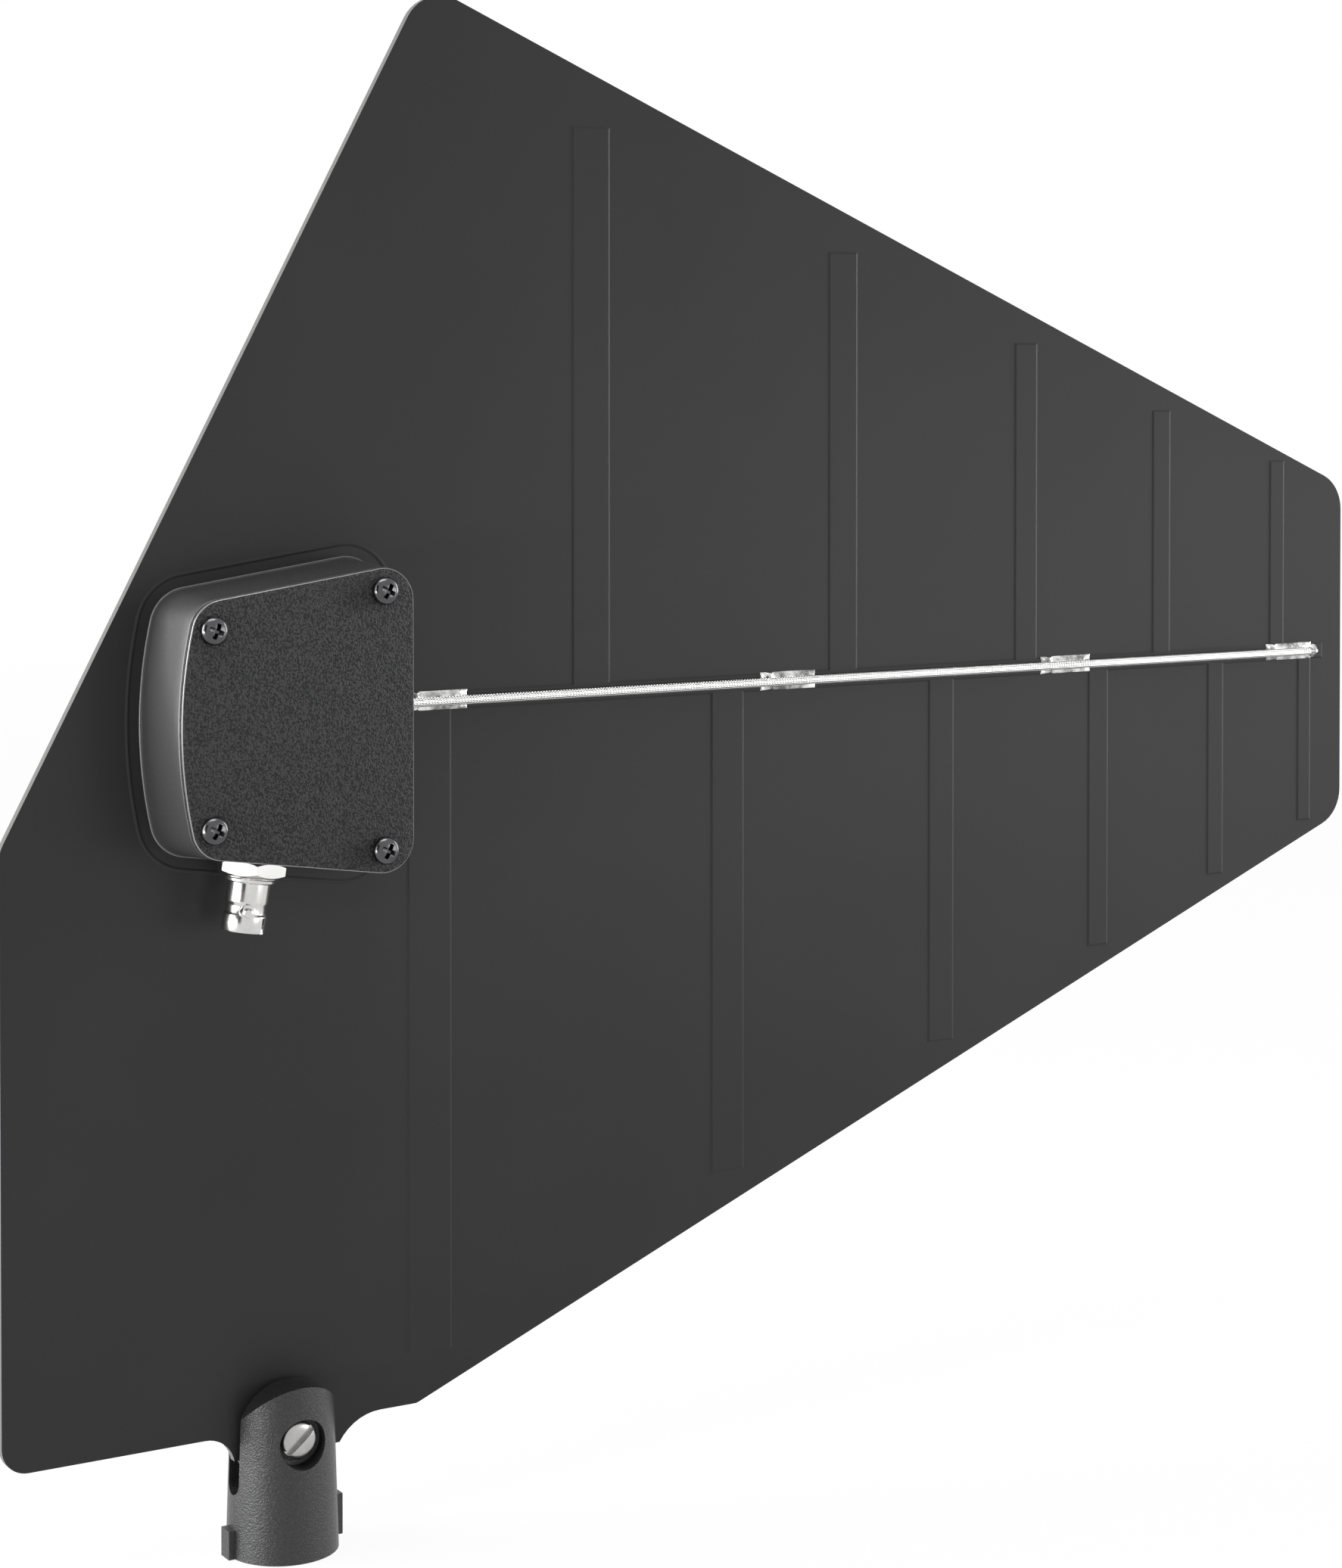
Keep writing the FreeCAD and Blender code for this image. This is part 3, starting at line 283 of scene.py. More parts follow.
@dataclass(frozen=True)
class BoardCoat(Finish):
    """Matt dark coating of the board, paler where the laminate is cut."""

    face: Colour = (0.020, 0.020, 0.021)
    cut: Colour = (0.10, 0.10, 0.098)
    roughness: float = 0.44
    gloss: float = 0.18
    edge_facing: float = 0.4
    cloud_size: float = 60.0
    fleck_size: float = 0.55
    peel_size: float = 0.9
    peel_depth: float = 0.012

    def paint(self, graph: ShaderGraph) -> None:
        """Fine orange peel, faint clouds and flecks, and a cut edge.

        Args:
            graph: Graph of the material.
        """
        across = graph.math("ABSOLUTE", graph.parts(graph.place["Normal"])["Y"])
        edge = graph.math("LESS_THAN", across, self.edge_facing)
        clouds = graph.spread(graph.noise(self.cloud_size, detail=2.0), 0.0, 1.0)
        fleck = graph.spread(graph.noise(self.fleck_size, rough=0.7), -0.35, 0.35)
        coat = graph.tint(graph.math("ADD", clouds, fleck), self.face, shaded(self.face, 1.15))
        peel = graph.noise(self.peel_size, detail=2.0)
        graph.set(
            Base_Color=graph.tint(edge, coat, self.cut),
            Roughness=graph.spread(peel, self.roughness - 0.02, self.roughness + 0.02),
            Specular_IOR_Level=self.gloss,
            Normal=graph.bump(peel, self.peel_depth),
        )


@dataclass(frozen=True)
class GrainedFinish(Finish):
    """Moulded or coated surface with a fine raised grain."""

    colour: Colour
    roughness: float
    grain: float
    depth: float
    fleck: float
    undulation: float = 0.0
    gloss: float = 0.4
    contrast: float = 1.0

    def paint(self, graph: ShaderGraph) -> None:
        """Grain in the relief, the colour and the gloss.

        Args:
            graph: Graph of the material.
        """
        grain = graph.noise(self.grain, detail=2.5, rough=0.6)
        flecks = graph.spread(grain, 0.5 - self.contrast / 2, 0.5 + self.contrast / 2)
        deep, pale = (shaded(self.colour, 1.0 + side * self.fleck) for side in (-1, 1))
        normal = None
        if self.undulation:
            normal = graph.bump(graph.noise(self.grain * 9.0, detail=1.0), self.undulation)
        graph.set(
            Base_Color=graph.tint(flecks, deep, pale),
            Roughness=graph.spread(grain, self.roughness + 0.06, self.roughness - 0.06),
            Specular_IOR_Level=self.gloss,
            Normal=graph.bump(grain, self.depth, normal),
        )


@dataclass(frozen=True)
class MetalFinish(Finish):
    """Plated or soldered metal with hazes and fine relief."""

    colour: Colour
    roughness: float
    depth: float
    haze: float = 0.08
    grain: float = 0.3
    stain: float = 0.12
    cloud_size: float = 3.0
    contrast: float = 1.0

    def paint(self, graph: ShaderGraph) -> None:
        """Gloss that varies over the surface, with a faint grain.

        Args:
            graph: Graph of the material.
        """
        cloud = graph.noise(self.cloud_size)
        stains = graph.spread(cloud, 0.5 - self.contrast / 2, 0.5 + self.contrast / 2)
        graph.set(
            Base_Color=graph.tint(stains, self.colour, shaded(self.colour, 1.0 - self.stain)),
            Metallic=1.0,
            Roughness=graph.spread(cloud, self.roughness - self.haze, self.roughness + self.haze),
            Normal=graph.bump(graph.noise(self.grain), self.depth),
        )


@dataclass(frozen=True)
class TurnedFinish(Finish):
    """Metal with the fine rings of a lathe tool about an axis through a point."""

    colour: Colour
    roughness: float
    pitch: float
    depth: float
    centre: Point = (0.0, 0.0, 26.5)
    turn: Point = (90.0, 0.0, 0.0)
    rings_a_metre: float = 0.314
    cloud_size: float = 2.0

    def paint(self, graph: ShaderGraph) -> None:
        """Rings about the axis over a hazed plating.

        Args:
            graph: Graph of the material.
        """
        mapping = graph.add(
            "ShaderNodeMapping",
            {"vector_type": "TEXTURE"},
            Vector=graph.place["Object"],
            Location=[c * MM for c in self.centre],
            Rotation=[math.radians(a) for a in self.turn],
        )
        rings = graph.add(
            "ShaderNodeTexWave",
            {"wave_type": "RINGS", "rings_direction": "Z"},
            Vector=mapping.outputs["Vector"],
            Scale=self.rings_a_metre / (self.pitch * MM),
            Distortion=0.6,
            Detail=1.0,
        )
        cloud = graph.noise(self.cloud_size)
        stains = graph.spread(cloud, 0.0, 1.0)
        graph.set(
            Base_Color=graph.tint(stains, self.colour, shaded(self.colour, 0.85)),
            Metallic=1.0,
            Roughness=graph.spread(cloud, self.roughness - 0.05, self.roughness + 0.08),
            Normal=graph.bump(rings.outputs["Fac"], self.depth),
        )


@dataclass(frozen=True)
class BraidFinish(Finish):
    """Tinned wires that cross over and under each other round a straight coax."""

    colour: Colour = (0.74, 0.74, 0.73)
    # Dark colour of the gaps between the wires: painted shade.
    gap_shade: Colour = (0.16, 0.16, 0.16)
    roughness: float = 0.20
    strands: int = 7
    lay: float = 1.54
    depth: float = 0.20
    cover: float = 0.36
    cloud_size: float = 1.5
    axis: Pair = (-2.4, 188.1)

    def paint(self, graph: ShaderGraph) -> None:
        """Two families of strands, wound left and right, with the gaps between them darkened in
        colour: painted shade.

        Args:
            graph: Graph of the material.
        """
        place = graph.parts(graph.place["Object"])
        across = graph.math("SUBTRACT", place["Y"], self.axis[0] * MM)
        up = graph.math("SUBTRACT", place["Z"], self.axis[1] * MM)
        turn = graph.product(graph.math("ARCTAN2", up, across), float(self.strands))
        along = graph.product(place["X"], 2.0 * math.pi / (self.lay * MM))
        right, left = (
            graph.math("SINE", graph.math(way, along, turn)) for way in ("ADD", "SUBTRACT")
        )
        relief = graph.math("ADD", graph.product(graph.product(right, left), 0.5), 0.5)
        # The low parts of the relief, between the strands, take the dark colour: painted shade.
        cover = graph.add("ShaderNodeMapRange", Value=relief, From_Min=0.0, From_Max=self.cover)
        clouds = graph.noise(self.cloud_size)
        graph.set(
            Base_Color=graph.tint(cover.outputs["Result"], self.gap_shade, self.colour),
            Metallic=1.0,
            Roughness=graph.spread(clouds, self.roughness - 0.05, self.roughness + 0.1),
            Normal=graph.bump(relief, self.depth),
        )


@dataclass(frozen=True)
class WaxyFinish(Finish):
    """White dielectric that lets a little light in."""

    colour: Colour = (0.82, 0.82, 0.80)
    roughness: float = 0.35
    cloud_size: float = 1.2
    haze_size: float = 0.6
    grain: float = 0.3
    depth: float = 0.004

    def paint(self, graph: ShaderGraph) -> None:
        """Faint mottling under a soft gloss.

        Args:
            graph: Graph of the material.
        """
        cloud = graph.spread(graph.noise(self.cloud_size), 0.0, 1.0)
        haze = graph.noise(self.haze_size)
        graph.set(
            Base_Color=graph.tint(cloud, self.colour, shaded(self.colour, 0.93)),
            Roughness=graph.spread(haze, self.roughness, self.roughness + 0.1),
            Normal=graph.bump(graph.noise(self.grain), self.depth),
            Subsurface_Weight=0.15,
            Subsurface_Scale=0.0006,
        )


BOARD = BoardCoat("board_coat", Slot.BOARD)
HOUSING = GrainedFinish(
    "housing_satin",
    Slot.HOUSING,
    colour=(0.033, 0.033, 0.034),
    roughness=0.34,
    grain=0.5,
    depth=0.010,
    fleck=0.14,
    undulation=0.02,
    gloss=0.55,
)
COVER = GrainedFinish(
    "cover_coat",
    Slot.COVER,
    colour=(0.017, 0.017, 0.018),
    roughness=0.34,
    grain=0.46,
    depth=0.60,
    fleck=0.92,
    gloss=0.26,
    contrast=2.6,
)
# Lighter copy of the dark housing finish, for the lip edge and the cover's bevel: a painted
# highlight.
PAINTED_HIGHLIGHT = GrainedFinish(
    "bright_edge",
    Slot.COVER,
    colour=(0.16, 0.16, 0.16),
    roughness=0.24,
    grain=0.5,
    depth=0.004,
    fleck=0.10,
    gloss=1.0,
)
ADAPTER = GrainedFinish(
    "adapter_grain",
    Slot.ADAPTER,
    colour=(0.011, 0.011, 0.0115),
    roughness=0.36,
    grain=0.42,
    depth=0.16,
    fleck=0.60,
    undulation=0.03,
    gloss=0.56,
    contrast=2.2,
)
WASHER = GrainedFinish(
    "washer_plastic",
    Slot.WASHER,
    colour=(0.012, 0.012, 0.012),
    roughness=0.55,
    grain=0.3,
    depth=0.01,
    fleck=0.2,
)
SCREW = MetalFinish(
    "black_nickel",
    Slot.SCREW,
    colour=(0.11, 0.11, 0.115),
    roughness=0.24,
    depth=0.003,
    haze=0.06,
    stain=0.3,
)
NICKEL = MetalFinish(
    "polished_nickel",
    Slot.NICKEL,
    colour=(0.66, 0.655, 0.64),
    roughness=0.19,
    depth=0.0008,
    haze=0.03,
    grain=0.4,
)
TAG = MetalFinish(
    "tinned_tag", Slot.TAG, colour=(0.72, 0.72, 0.71), roughness=0.3, depth=0.002, grain=0.4
)
BRAID = BraidFinish("tinned_braid", Slot.BRAID)
SOLDER = MetalFinish(
    "solder",
    Slot.SOLDER,
    colour=(0.76, 0.76, 0.75),
    roughness=0.24,
    depth=0.12,
    haze=0.10,
    grain=1.3,
    stain=0.80,
    cloud_size=3.2,
    contrast=1.5,
)
COPPER = MetalFinish(
    "copper_wire", Slot.COPPER, colour=(0.80, 0.52, 0.38), roughness=0.25, depth=0.001
)
GOLD = MetalFinish(
    "gold_contact", Slot.GOLD, colour=(0.86, 0.66, 0.32), roughness=0.16, depth=0.001, haze=0.05
)
STEEL = TurnedFinish(
    "plated_steel", Slot.STEEL, colour=(0.46, 0.455, 0.445), roughness=0.26, pitch=0.3, depth=0.003
)
BRASS = TurnedFinish(
    "turned_brass",
    Slot.BRASS,
    colour=(0.74, 0.58, 0.33),
    roughness=0.28,
    pitch=0.9,
    depth=0.02,
    centre=(0.0, 0.0, 0.0),
    turn=(0.0, 0.0, 0.0),
)
DIELECTRIC = WaxyFinish("white_dielectric", Slot.DIELECTRIC)


# Meshes
def linked(name: str, mesh: bpy.types.Mesh) -> Thing:
    """Make an object of a mesh and put it in the scene.

    Args:
        name: Name of the object.
        mesh: Its mesh, in metres at its place.

    Returns:
        The object, at the origin.
    """
    made = bpy.data.objects.new(name, mesh)
    bpy.context.scene.collection.objects.link(made)
    return made


def baked(name: str, source: Thing) -> Thing:
    """Turn an object with modifiers into a plain mesh object, and remove the source.

    Args:
        name: Name of the result.
        source: Object to evaluate.

    Returns:
        Plain mesh object with no modifiers.
    """
    depsgraph = bpy.context.evaluated_depsgraph_get()
    mesh = bpy.data.meshes.new_from_object(source.evaluated_get(depsgraph))
    bpy.data.objects.remove(source)
    return linked(name, mesh)


def smoothed(target: Thing, angle: float = 30.0) -> Thing:
    """Shade an object smooth.

    Args:
        target: Object to shade.
        angle: Edges sharper than this many degrees stay sharp.

    Returns:
        The same object.
    """
    target.data.shade_smooth()
    target.data.set_sharp_from_angle(angle=math.radians(angle))
    return target


def outward(target: Thing) -> Thing:
    """Turn a closed mesh's faces outwards.

    Args:
        target: Object with the mesh.

    Returns:
        The same object.
    """
    solid = bmesh.new()
    solid.from_mesh(target.data)
    bmesh.ops.recalc_face_normals(solid, faces=solid.faces)
    solid.to_mesh(target.data)
    solid.free()
    return target


def turned(angle: float, axis: str) -> Matrix:
    """Matrix of a turn in degrees about an axis."""
    return Matrix.Rotation(math.radians(angle), 4, axis)


def moved(x: float, y: float, z: float) -> Matrix:
    """Matrix of a shift in millimetres."""
    return Matrix.Translation((x * MM, y * MM, z * MM))


def lathe(profile: Sequence[Pair], steps: int = 96) -> Solid:
    """Turn a closed profile about the z axis.

    Args:
        profile: Pairs of radius and height in millimetres, anticlockwise seen with the
            radius to the right.
        steps: Number of facets round the axis.

    Returns:
        Closed mesh, about the z axis.
    """
    solid = bmesh.new()
    turns = [2.0 * math.pi * step / steps for step in range(steps)]
    rings = []
    for radius, height in profile:
        if radius < 1e-6:
            rings.append([solid.verts.new((0.0, 0.0, height * MM))] * steps)
            continue
        spots = [(radius * math.cos(turn), radius * math.sin(turn)) for turn in turns]
        rings.append([solid.verts.new((x * MM, y * MM, height * MM)) for x, y in spots])
    for lower, upper in zip(rings, rings[1:] + rings[:1]):
        for step in range(steps):
            after = (step + 1) % steps
            corners = dict.fromkeys((lower[step], lower[after], upper[after], upper[step]))
            if len(corners) > 2:
                solid.faces.new(list(corners))
    bmesh.ops.recalc_face_normals(solid, faces=solid.faces)
    return solid


def skinned(rings: Iterable[Iterable[Point]], closed: bool = False) -> Solid:
    """Join rings that have the same number of corners.

    Args:
        rings: Corners of each ring in millimetres.
        closed: Whether the last ring joins the first, as a wall does, or both are capped.

    Returns:
        Closed mesh.
    """
    solid = bmesh.new()
    made = [[solid.verts.new([c * MM for c in corner]) for corner in ring] for ring in rings]
    pairs = list(zip(made, made[1:]))
    if closed:
        pairs.append((made[-1], made[0]))
    else:
        solid.faces.new(made[0])
        solid.faces.new(made[-1])
    for lower, upper in pairs:
        for index in range(len(lower)):
            after = (index + 1) % len(lower)
            solid.faces.new((lower[index], lower[after], upper[after], upper[index]))
    bmesh.ops.recalc_face_normals(solid, faces=solid.faces)
    return solid


def prism(outline: Sequence[Pair], low: float, high: float) -> Solid:
    """Raise a flat outline along z, between two heights in millimetres."""
    return skinned([[(x, y, level) for x, y in outline] for level in (low, high)])


def from_bmesh(name: str, solid: Solid, place: Matrix | None = None) -> Thing:
    """Write a bmesh to an object.

    Args:
        name: Name of the object.
        solid: Mesh to write, which is freed.
        place: Where it goes, in metres, if it isn't in place already.

    Returns:
        The object.
    """
    mesh = bpy.data.meshes.new(name)
    solid.to_mesh(mesh)
    solid.free()
    if place is not None:
        mesh.transform(place)
    return linked(name, mesh)


def sheet(name: str, corners: Iterable[Point]) -> Thing:
    """Make an object of one face.

    Args:
        name: Name of the object.
        corners: Its corners in millimetres.

    Returns:
        The object.
    """
    solid = bmesh.new()
    solid.faces.new([solid.verts.new([c * MM for c in corner]) for corner in corners])
    return from_bmesh(name, solid)


def dome(radius: float, height: float, side: float, power: float, steps: int) -> list[Pair]:
    """Profile of a screw's domed head, from the end of its side to the axis.

    Args:
        radius: Radius of the head.
        height: Its height.
        side: Share of the height that the straight side takes.
        power: Fullness of the dome, from 1 down to 0 for a flat top.
        steps: Number of steps.

    Returns:
        Pairs of radius and height.
    """
    points = []
    for index in range(1, steps + 1):
        turn = math.pi / 2 * index / steps
        rise = side + (1.0 - side) * math.sin(turn)
        points.append((radius * math.cos(turn) ** power, height * rise))
    points[-1] = (0.0, height)
    return points


def rounded(out: float, high: float, size: float, steps: int) -> list[Pair]:
    """Rings of a rounded edge, from a side up to a top face.

    Args:
        out: Offset of the side.
        high: Height of the top face.
        size: Radius of the edge.
        steps: Number of steps.

    Returns:
        Pairs of offset and height.
    """
    points = []
    for index in range(steps + 1):
        turn = math.pi / 2 * index / steps
        inward = size * (1.0 - math.cos(turn))
        points.append((out - inward, high - size * (1.0 - math.sin(turn))))
    return points


class Join(Enum):
    """Ways to combine two solids."""

    CUT = "DIFFERENCE"
    KEEP_COMMON = "INTERSECT"
    FUSE = "UNION"


def combined(base: Thing, tool: Thing, way: Join) -> Thing:
    """Combine two closed solids, and remove both.

    Args:
        base: Solid that is kept or cut.
        tool: Solid that cuts or joins it.
        way: How they are combined.

    Returns:
        The result under the base's name.
    """
    name = base.name
    base.name = f"{name}_blank"
    step = base.modifiers.new("combine", "BOOLEAN")
    step.operation = way.value
    step.solver = "EXACT"
    step.object = tool
    made = baked(name, base)
    bpy.data.objects.remove(tool)
    return made


def eased(base: Thing, width: float, segments: int = 2, angle: float = 30.0) -> Thing:
    """Ease the sharp edges of a solid.

    Args:
        base: Solid to ease, which is removed.
        width: Width of the bevel in millimetres.
        segments: Facets across it.
        angle: Edges sharper than this many degrees are eased.

    Returns:
        The eased solid.
    """
    name = base.name
    base.name = f"{name}_sharp"
    step = base.modifiers.new("ease", "BEVEL")
    step.width = width * MM
    step.segments = segments
    step.limit_method = "ANGLE"
    step.angle_limit = math.radians(angle)
    step.use_clamp_overlap = True
    made = smoothed(baked(f"{name}_eased", base))
    weights = made.modifiers.new("weights", "WEIGHTED_NORMAL")
    weights.keep_sharp = True
    return baked(name, made)


def merged_copy(node: str, name: str) -> Thing:
    """Copy a CAD node's mesh with its loose triangles merged and its flat faces joined.

    Args:
        node: Name of the CAD node.
        name: Name of the copy.

    Returns:
        The copy.
    """
    solid = bmesh.new()
    solid.from_mesh(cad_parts[node].data)
    bmesh.ops.remove_doubles(solid, verts=solid.verts, dist=2e-6)
    bmesh.ops.dissolve_limit(
        solid, angle_limit=math.radians(0.6), verts=solid.verts, edges=solid.edges
    )
    return from_bmesh(name, solid)


def dressed(piece: Thing, body: Body, finish: Finish, *nodes: str) -> None:
    """Give a new piece its finish, its body and the nodes that it stands for.

    Args:
        piece: The new piece, in place.
        body: Body that it moves with.
        finish: Its finish.
        nodes: CAD nodes that it replaces.
    """
    piece.data.materials.clear()
    piece.data.materials.append(finish.material())
    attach(piece, body.value)
    if nodes:
        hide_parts(*nodes)
    log.info("%s: %d faces", piece.name, len(piece.data.polygons))


def coat_nodes(finish: Finish, *nodes: str) -> None:
    """Put a finish on CAD nodes that keep their own shape.

    Args:
        finish: The finish.
        nodes: Names of the nodes.
    """
    for node in nodes:
        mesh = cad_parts[node].data
        mesh.materials.clear()
        mesh.materials.append(finish.material())
        log.info("%s: CAD shape with %s", node, finish.name)


# Geometry Nodes
class Recipe(NodeWriter):
    """A Geometry Nodes tree with named inputs, run once on an object."""

    def __init__(self, name: str, lengths: dict[str, float], numbers: dict[str, float]) -> None:
        """Start a tree.

        Args:
            name: Name of the tree.
            lengths: Named lengths in millimetres, which the tree holds in metres.
            numbers: Named counts, angles and shares.
        """
        super().__init__(bpy.data.node_groups.new(name, "GeometryNodeTree"))
        self.values = {label: length * MM for label, length in lengths.items()} | numbers
        self.sockets = {}
        face = self.tree.interface
        face.new_socket("Geometry", in_out="INPUT", socket_type="NodeSocketGeometry")
        for label, value in self.values.items():
            kind = "NodeSocketInt" if isinstance(value, int) else "NodeSocketFloat"
            self.sockets[label] = face.new_socket(label, in_out="INPUT", socket_type=kind)
        face.new_socket("Geometry", in_out="OUTPUT", socket_type="NodeSocketGeometry")
        self.start = self.add("NodeGroupInput")
        self.end = self.add("NodeGroupOutput")

    def size(self, label: str) -> Socket:
        """Socket of a named input."""
        return self.start.outputs[label]

    def order(self) -> Socket:
        """Number of each point."""
        return self.add("GeometryNodeInputIndex").outputs[0]

    def corner(self) -> Socket:
        """Place of each corner."""
        return self.add("GeometryNodeInputPosition").outputs[0]

    def points(self, count: object) -> Socket:
        """Points at the origin, to be placed later."""
        return self.add("GeometryNodeMeshLine", Count=count, Offset=(0.0, 0.0, 0.0)).outputs[0]

    def cube(self) -> Socket:
        """Cube with sides of one metre."""
        return self.add("GeometryNodeMeshCube", Size=(1.0, 1.0, 1.0)).outputs[0]

    def xyz(self, x: object, y: object, z: object) -> Socket:
        """Make a vector of three numbers."""
        return self.add("ShaderNodeCombineXYZ", X=x, Y=y, Z=z).outputs[0]

    def placed(self, shape: Socket, x: object, y: object, z: object) -> Socket:
        """Move every corner of a shape to a place of its own."""
        place = self.xyz(x, y, z)
        return self.add("GeometryNodeSetPosition", Geometry=shape, Position=place).outputs[0]

    def copies(self, points: Socket, pattern: Socket, **more: object) -> Socket:
        """Put a pattern on each point."""
        kind = "GeometryNodeInstanceOnPoints"
        return self.add(kind, Points=points, Instance=pattern, **more).outputs[0]

    def realized(self, shape: Socket) -> Socket:
        """Make copies real."""
        return self.add("GeometryNodeRealizeInstances", Geometry=shape).outputs[0]

    def note(self, shape: Socket, name: str, value: Socket, kind: str, domain: str) -> Socket:
        """Write a value on a shape under a name.

        Args:
            shape: Shape that carries the value.
            name: Name of the value.
            value: Its socket.
            kind: Type of the value.
            domain: What carries it: points or whole copies.

        Returns:
            Socket of the shape.
        """
        settings = {"data_type": kind, "domain": domain}
        node = self.add(
            "GeometryNodeStoreNamedAttribute", settings, Geometry=shape, Name=name, Value=value
        )
        return node.outputs[0]

    def noted(self, name: str, kind: str) -> Socket:
        """Read a value that is written on a shape."""
        node = self.add("GeometryNodeInputNamedAttribute", {"data_type": kind}, Name=name)
        return node.outputs["Attribute"]

    def joined(self, *shapes: Socket) -> Socket:
        """Join shapes.

        Args:
            shapes: Their sockets.

        Returns:
            Socket of the whole.
        """
        whole = self.add("GeometryNodeJoinGeometry")
        for shape in shapes:
            self.feed(whole.inputs[0], shape)
        return whole.outputs[0]

    def run(self, name: str, shape: Socket, finish: Finish) -> Thing:
        """Finish the tree, run it and keep the plain mesh.

        Args:
            name: Name of the result.
            shape: Geometry to keep.
            finish: Finish that the tree sets.

        Returns:
            Plain mesh object.
        """
        painted = self.add(
            "GeometryNodeSetMaterial", Geometry=self.realized(shape), Material=finish.material()
        )
        self.feed(self.end.inputs[0], painted.outputs[0])
        carrier = linked(f"{name}_carrier", bpy.data.meshes.new(f"{name}_carrier"))
        step = carrier.modifiers.new(self.tree.name, "NODES")
        step.node_group = self.tree
        for label, value in self.values.items():
            step[self.sockets[label].identifier] = value
        return baked(name, carrier)


# Board
@dataclass
class PrintedBoard:
    """Coated board with the log periodic array in relief on both faces."""

    thickness: float = 2.0
    boom_height: float = 188.1
    last_along: float = 301.44
    first_distance: float = 381.0
    array_ratio: float = 0.888
    length_ratio: float = 0.39108
    first_width: float = 10.3
    width_ratio: float = 0.905
    element_count: int = 11
    lead_element: int = 9
    lead_distance: float = 4.8
    rise: float = 0.24
    slope_run: float = 0.55
    boom_start: float = 18.0
    boom_end: float = 307.5
    boom_width: float = 3.4
    boom_rise: float = 0.28

    def build(self) -> None:
        """Coat the board and lay the softened relief of the array over its own."""
        coat_nodes(BOARD, "antenna_panel")
        dressed(self._relief(), Body.ANTENNA, BOARD)

    def _relief(self) -> Thing:
        """Strips with sloped sides, one for each element and one for the boom.

        Returns:
            The strips of both faces as one mesh.
        """
        lengths = {
            "Last Along": self.last_along,
            "First Distance": self.first_distance,
            "First Width": self.first_width,
            "Lead Distance": self.lead_distance,
            "Boom Height": self.boom_height,
            "Boom Start": self.boom_start,
            "Boom End": self.boom_end,
            "Boom Width": self.boom_width,
            "Face": self.thickness / 2,
            "Rise": self.rise,
            "Boom Rise": self.boom_rise,
            "Slope Run": self.slope_run,
        }
        numbers = {
            "Elements": self.element_count,
            "Ratio": self.array_ratio,
            "Length Ratio": self.length_ratio,
            "Width Ratio": self.width_ratio,
            "Lead Element": float(self.lead_element),
        }
        recipe = Recipe("array_relief", lengths, numbers)
        front = recipe.joined(self._element_strips(recipe), self._boom_strip(recipe))
        half_turn = (math.pi, 0.0, 0.0)
        rear = recipe.add("GeometryNodeTransform", Geometry=front, Rotation=half_turn)
        raised = recipe.add(
            "GeometryNodeTransform",
            Geometry=recipe.joined(front, rear.outputs[0]),
            Translation=recipe.xyz(0.0, 0.0, recipe.size("Boom Height")),
        )
        return outward(recipe.run("array_relief", raised.outputs[0], BOARD))

    @staticmethod
    def _depth(recipe: Recipe, foot: Socket, rise: Socket) -> Socket:
        """Place across the board: on its face at the foot, and proud of it at the top.

        Args:
            recipe: Tree that the nodes go into.
            foot: 1 at the foot of a strip and 0 at its top.
            rise: Height of the strip's top over the board.

        Returns:
            Socket with the place along y.
        """
        proud = recipe.product(recipe.math("SUBTRACT", 1.0, foot), rise)
        return recipe.product(-1.0, recipe.math("ADD", recipe.size("Face"), proud))

    def _element_strips(self, recipe: Recipe) -> Socket:
        """Elements of the front face, which shrink and close up towards the nose.

        Args:
            recipe: Tree that the nodes go into.

        Returns:
            Socket with the strips about the boom's axis.
        """
        size, calc, times = recipe.size, recipe.math, recipe.product
        bars = recipe.copies(recipe.points(size("Elements")), recipe.cube())
        bars = recipe.note(bars, "order", recipe.order(), "FLOAT", "INSTANCE")
        order = recipe.noted("order", "FLOAT")
        corner = recipe.parts(recipe.corner())
        shrink = calc("POWER", size("Ratio"), order)
        last = calc("POWER", size("Ratio"), calc("SUBTRACT", size("Elements"), 1.0))
        back = times(size("First Distance"), calc("SUBTRACT", shrink, last))
        ahead = times(calc("COMPARE", order, size("Lead Element"), 0.5), size("Lead Distance"))
        middle = calc("ADD", calc("SUBTRACT", size("Last Along"), back), ahead)
        length = times(size("First Distance"), shrink, size("Length Ratio"))
        width = times(size("First Width"), calc("POWER", size("Width Ratio"), order))
        foot = calc("GREATER_THAN", corner["Y"], 0.0)
        flare = times(foot, size("Slope Run"))
        half = calc("ADD", times(width, 0.5), flare)
        way = calc("SUBTRACT", times(calc("MODULO", order, 2.0), 2.0), 1.0)
        tip = calc("GREATER_THAN", corner["Z"], 0.0)
        return recipe.placed(
            recipe.realized(bars),
            calc("ADD", middle, times(corner["X"], 2.0, half)),
            self._depth(recipe, foot, size("Rise")),
            times(way, tip, calc("ADD", length, flare)),
        )

    def _boom_strip(self, recipe: Recipe) -> Socket:
        """Strip along the boom that carries the elements.

        Args:
            recipe: Tree that the nodes go into.

        Returns:
            Socket with the strip about the boom's axis.
        """
        size, calc, times = recipe.size, recipe.math, recipe.product
        corner = recipe.parts(recipe.corner())
        foot = calc("GREATER_THAN", corner["Y"], 0.0)
        flare = times(foot, size("Slope Run"))
        length = calc("SUBTRACT", size("Boom End"), size("Boom Start"))
        centre = times(calc("ADD", size("Boom End"), size("Boom Start")), 0.5)
        half_length = calc("ADD", times(length, 0.5), flare)
        half_width = calc("ADD", times(size("Boom Width"), 0.5), flare)
        return recipe.placed(
            recipe.cube(),
            calc("ADD", centre, times(corner["X"], 2.0, half_length)),
            self._depth(recipe, foot, size("Boom Rise")),
            times(corner["Z"], 2.0, half_width),
        )


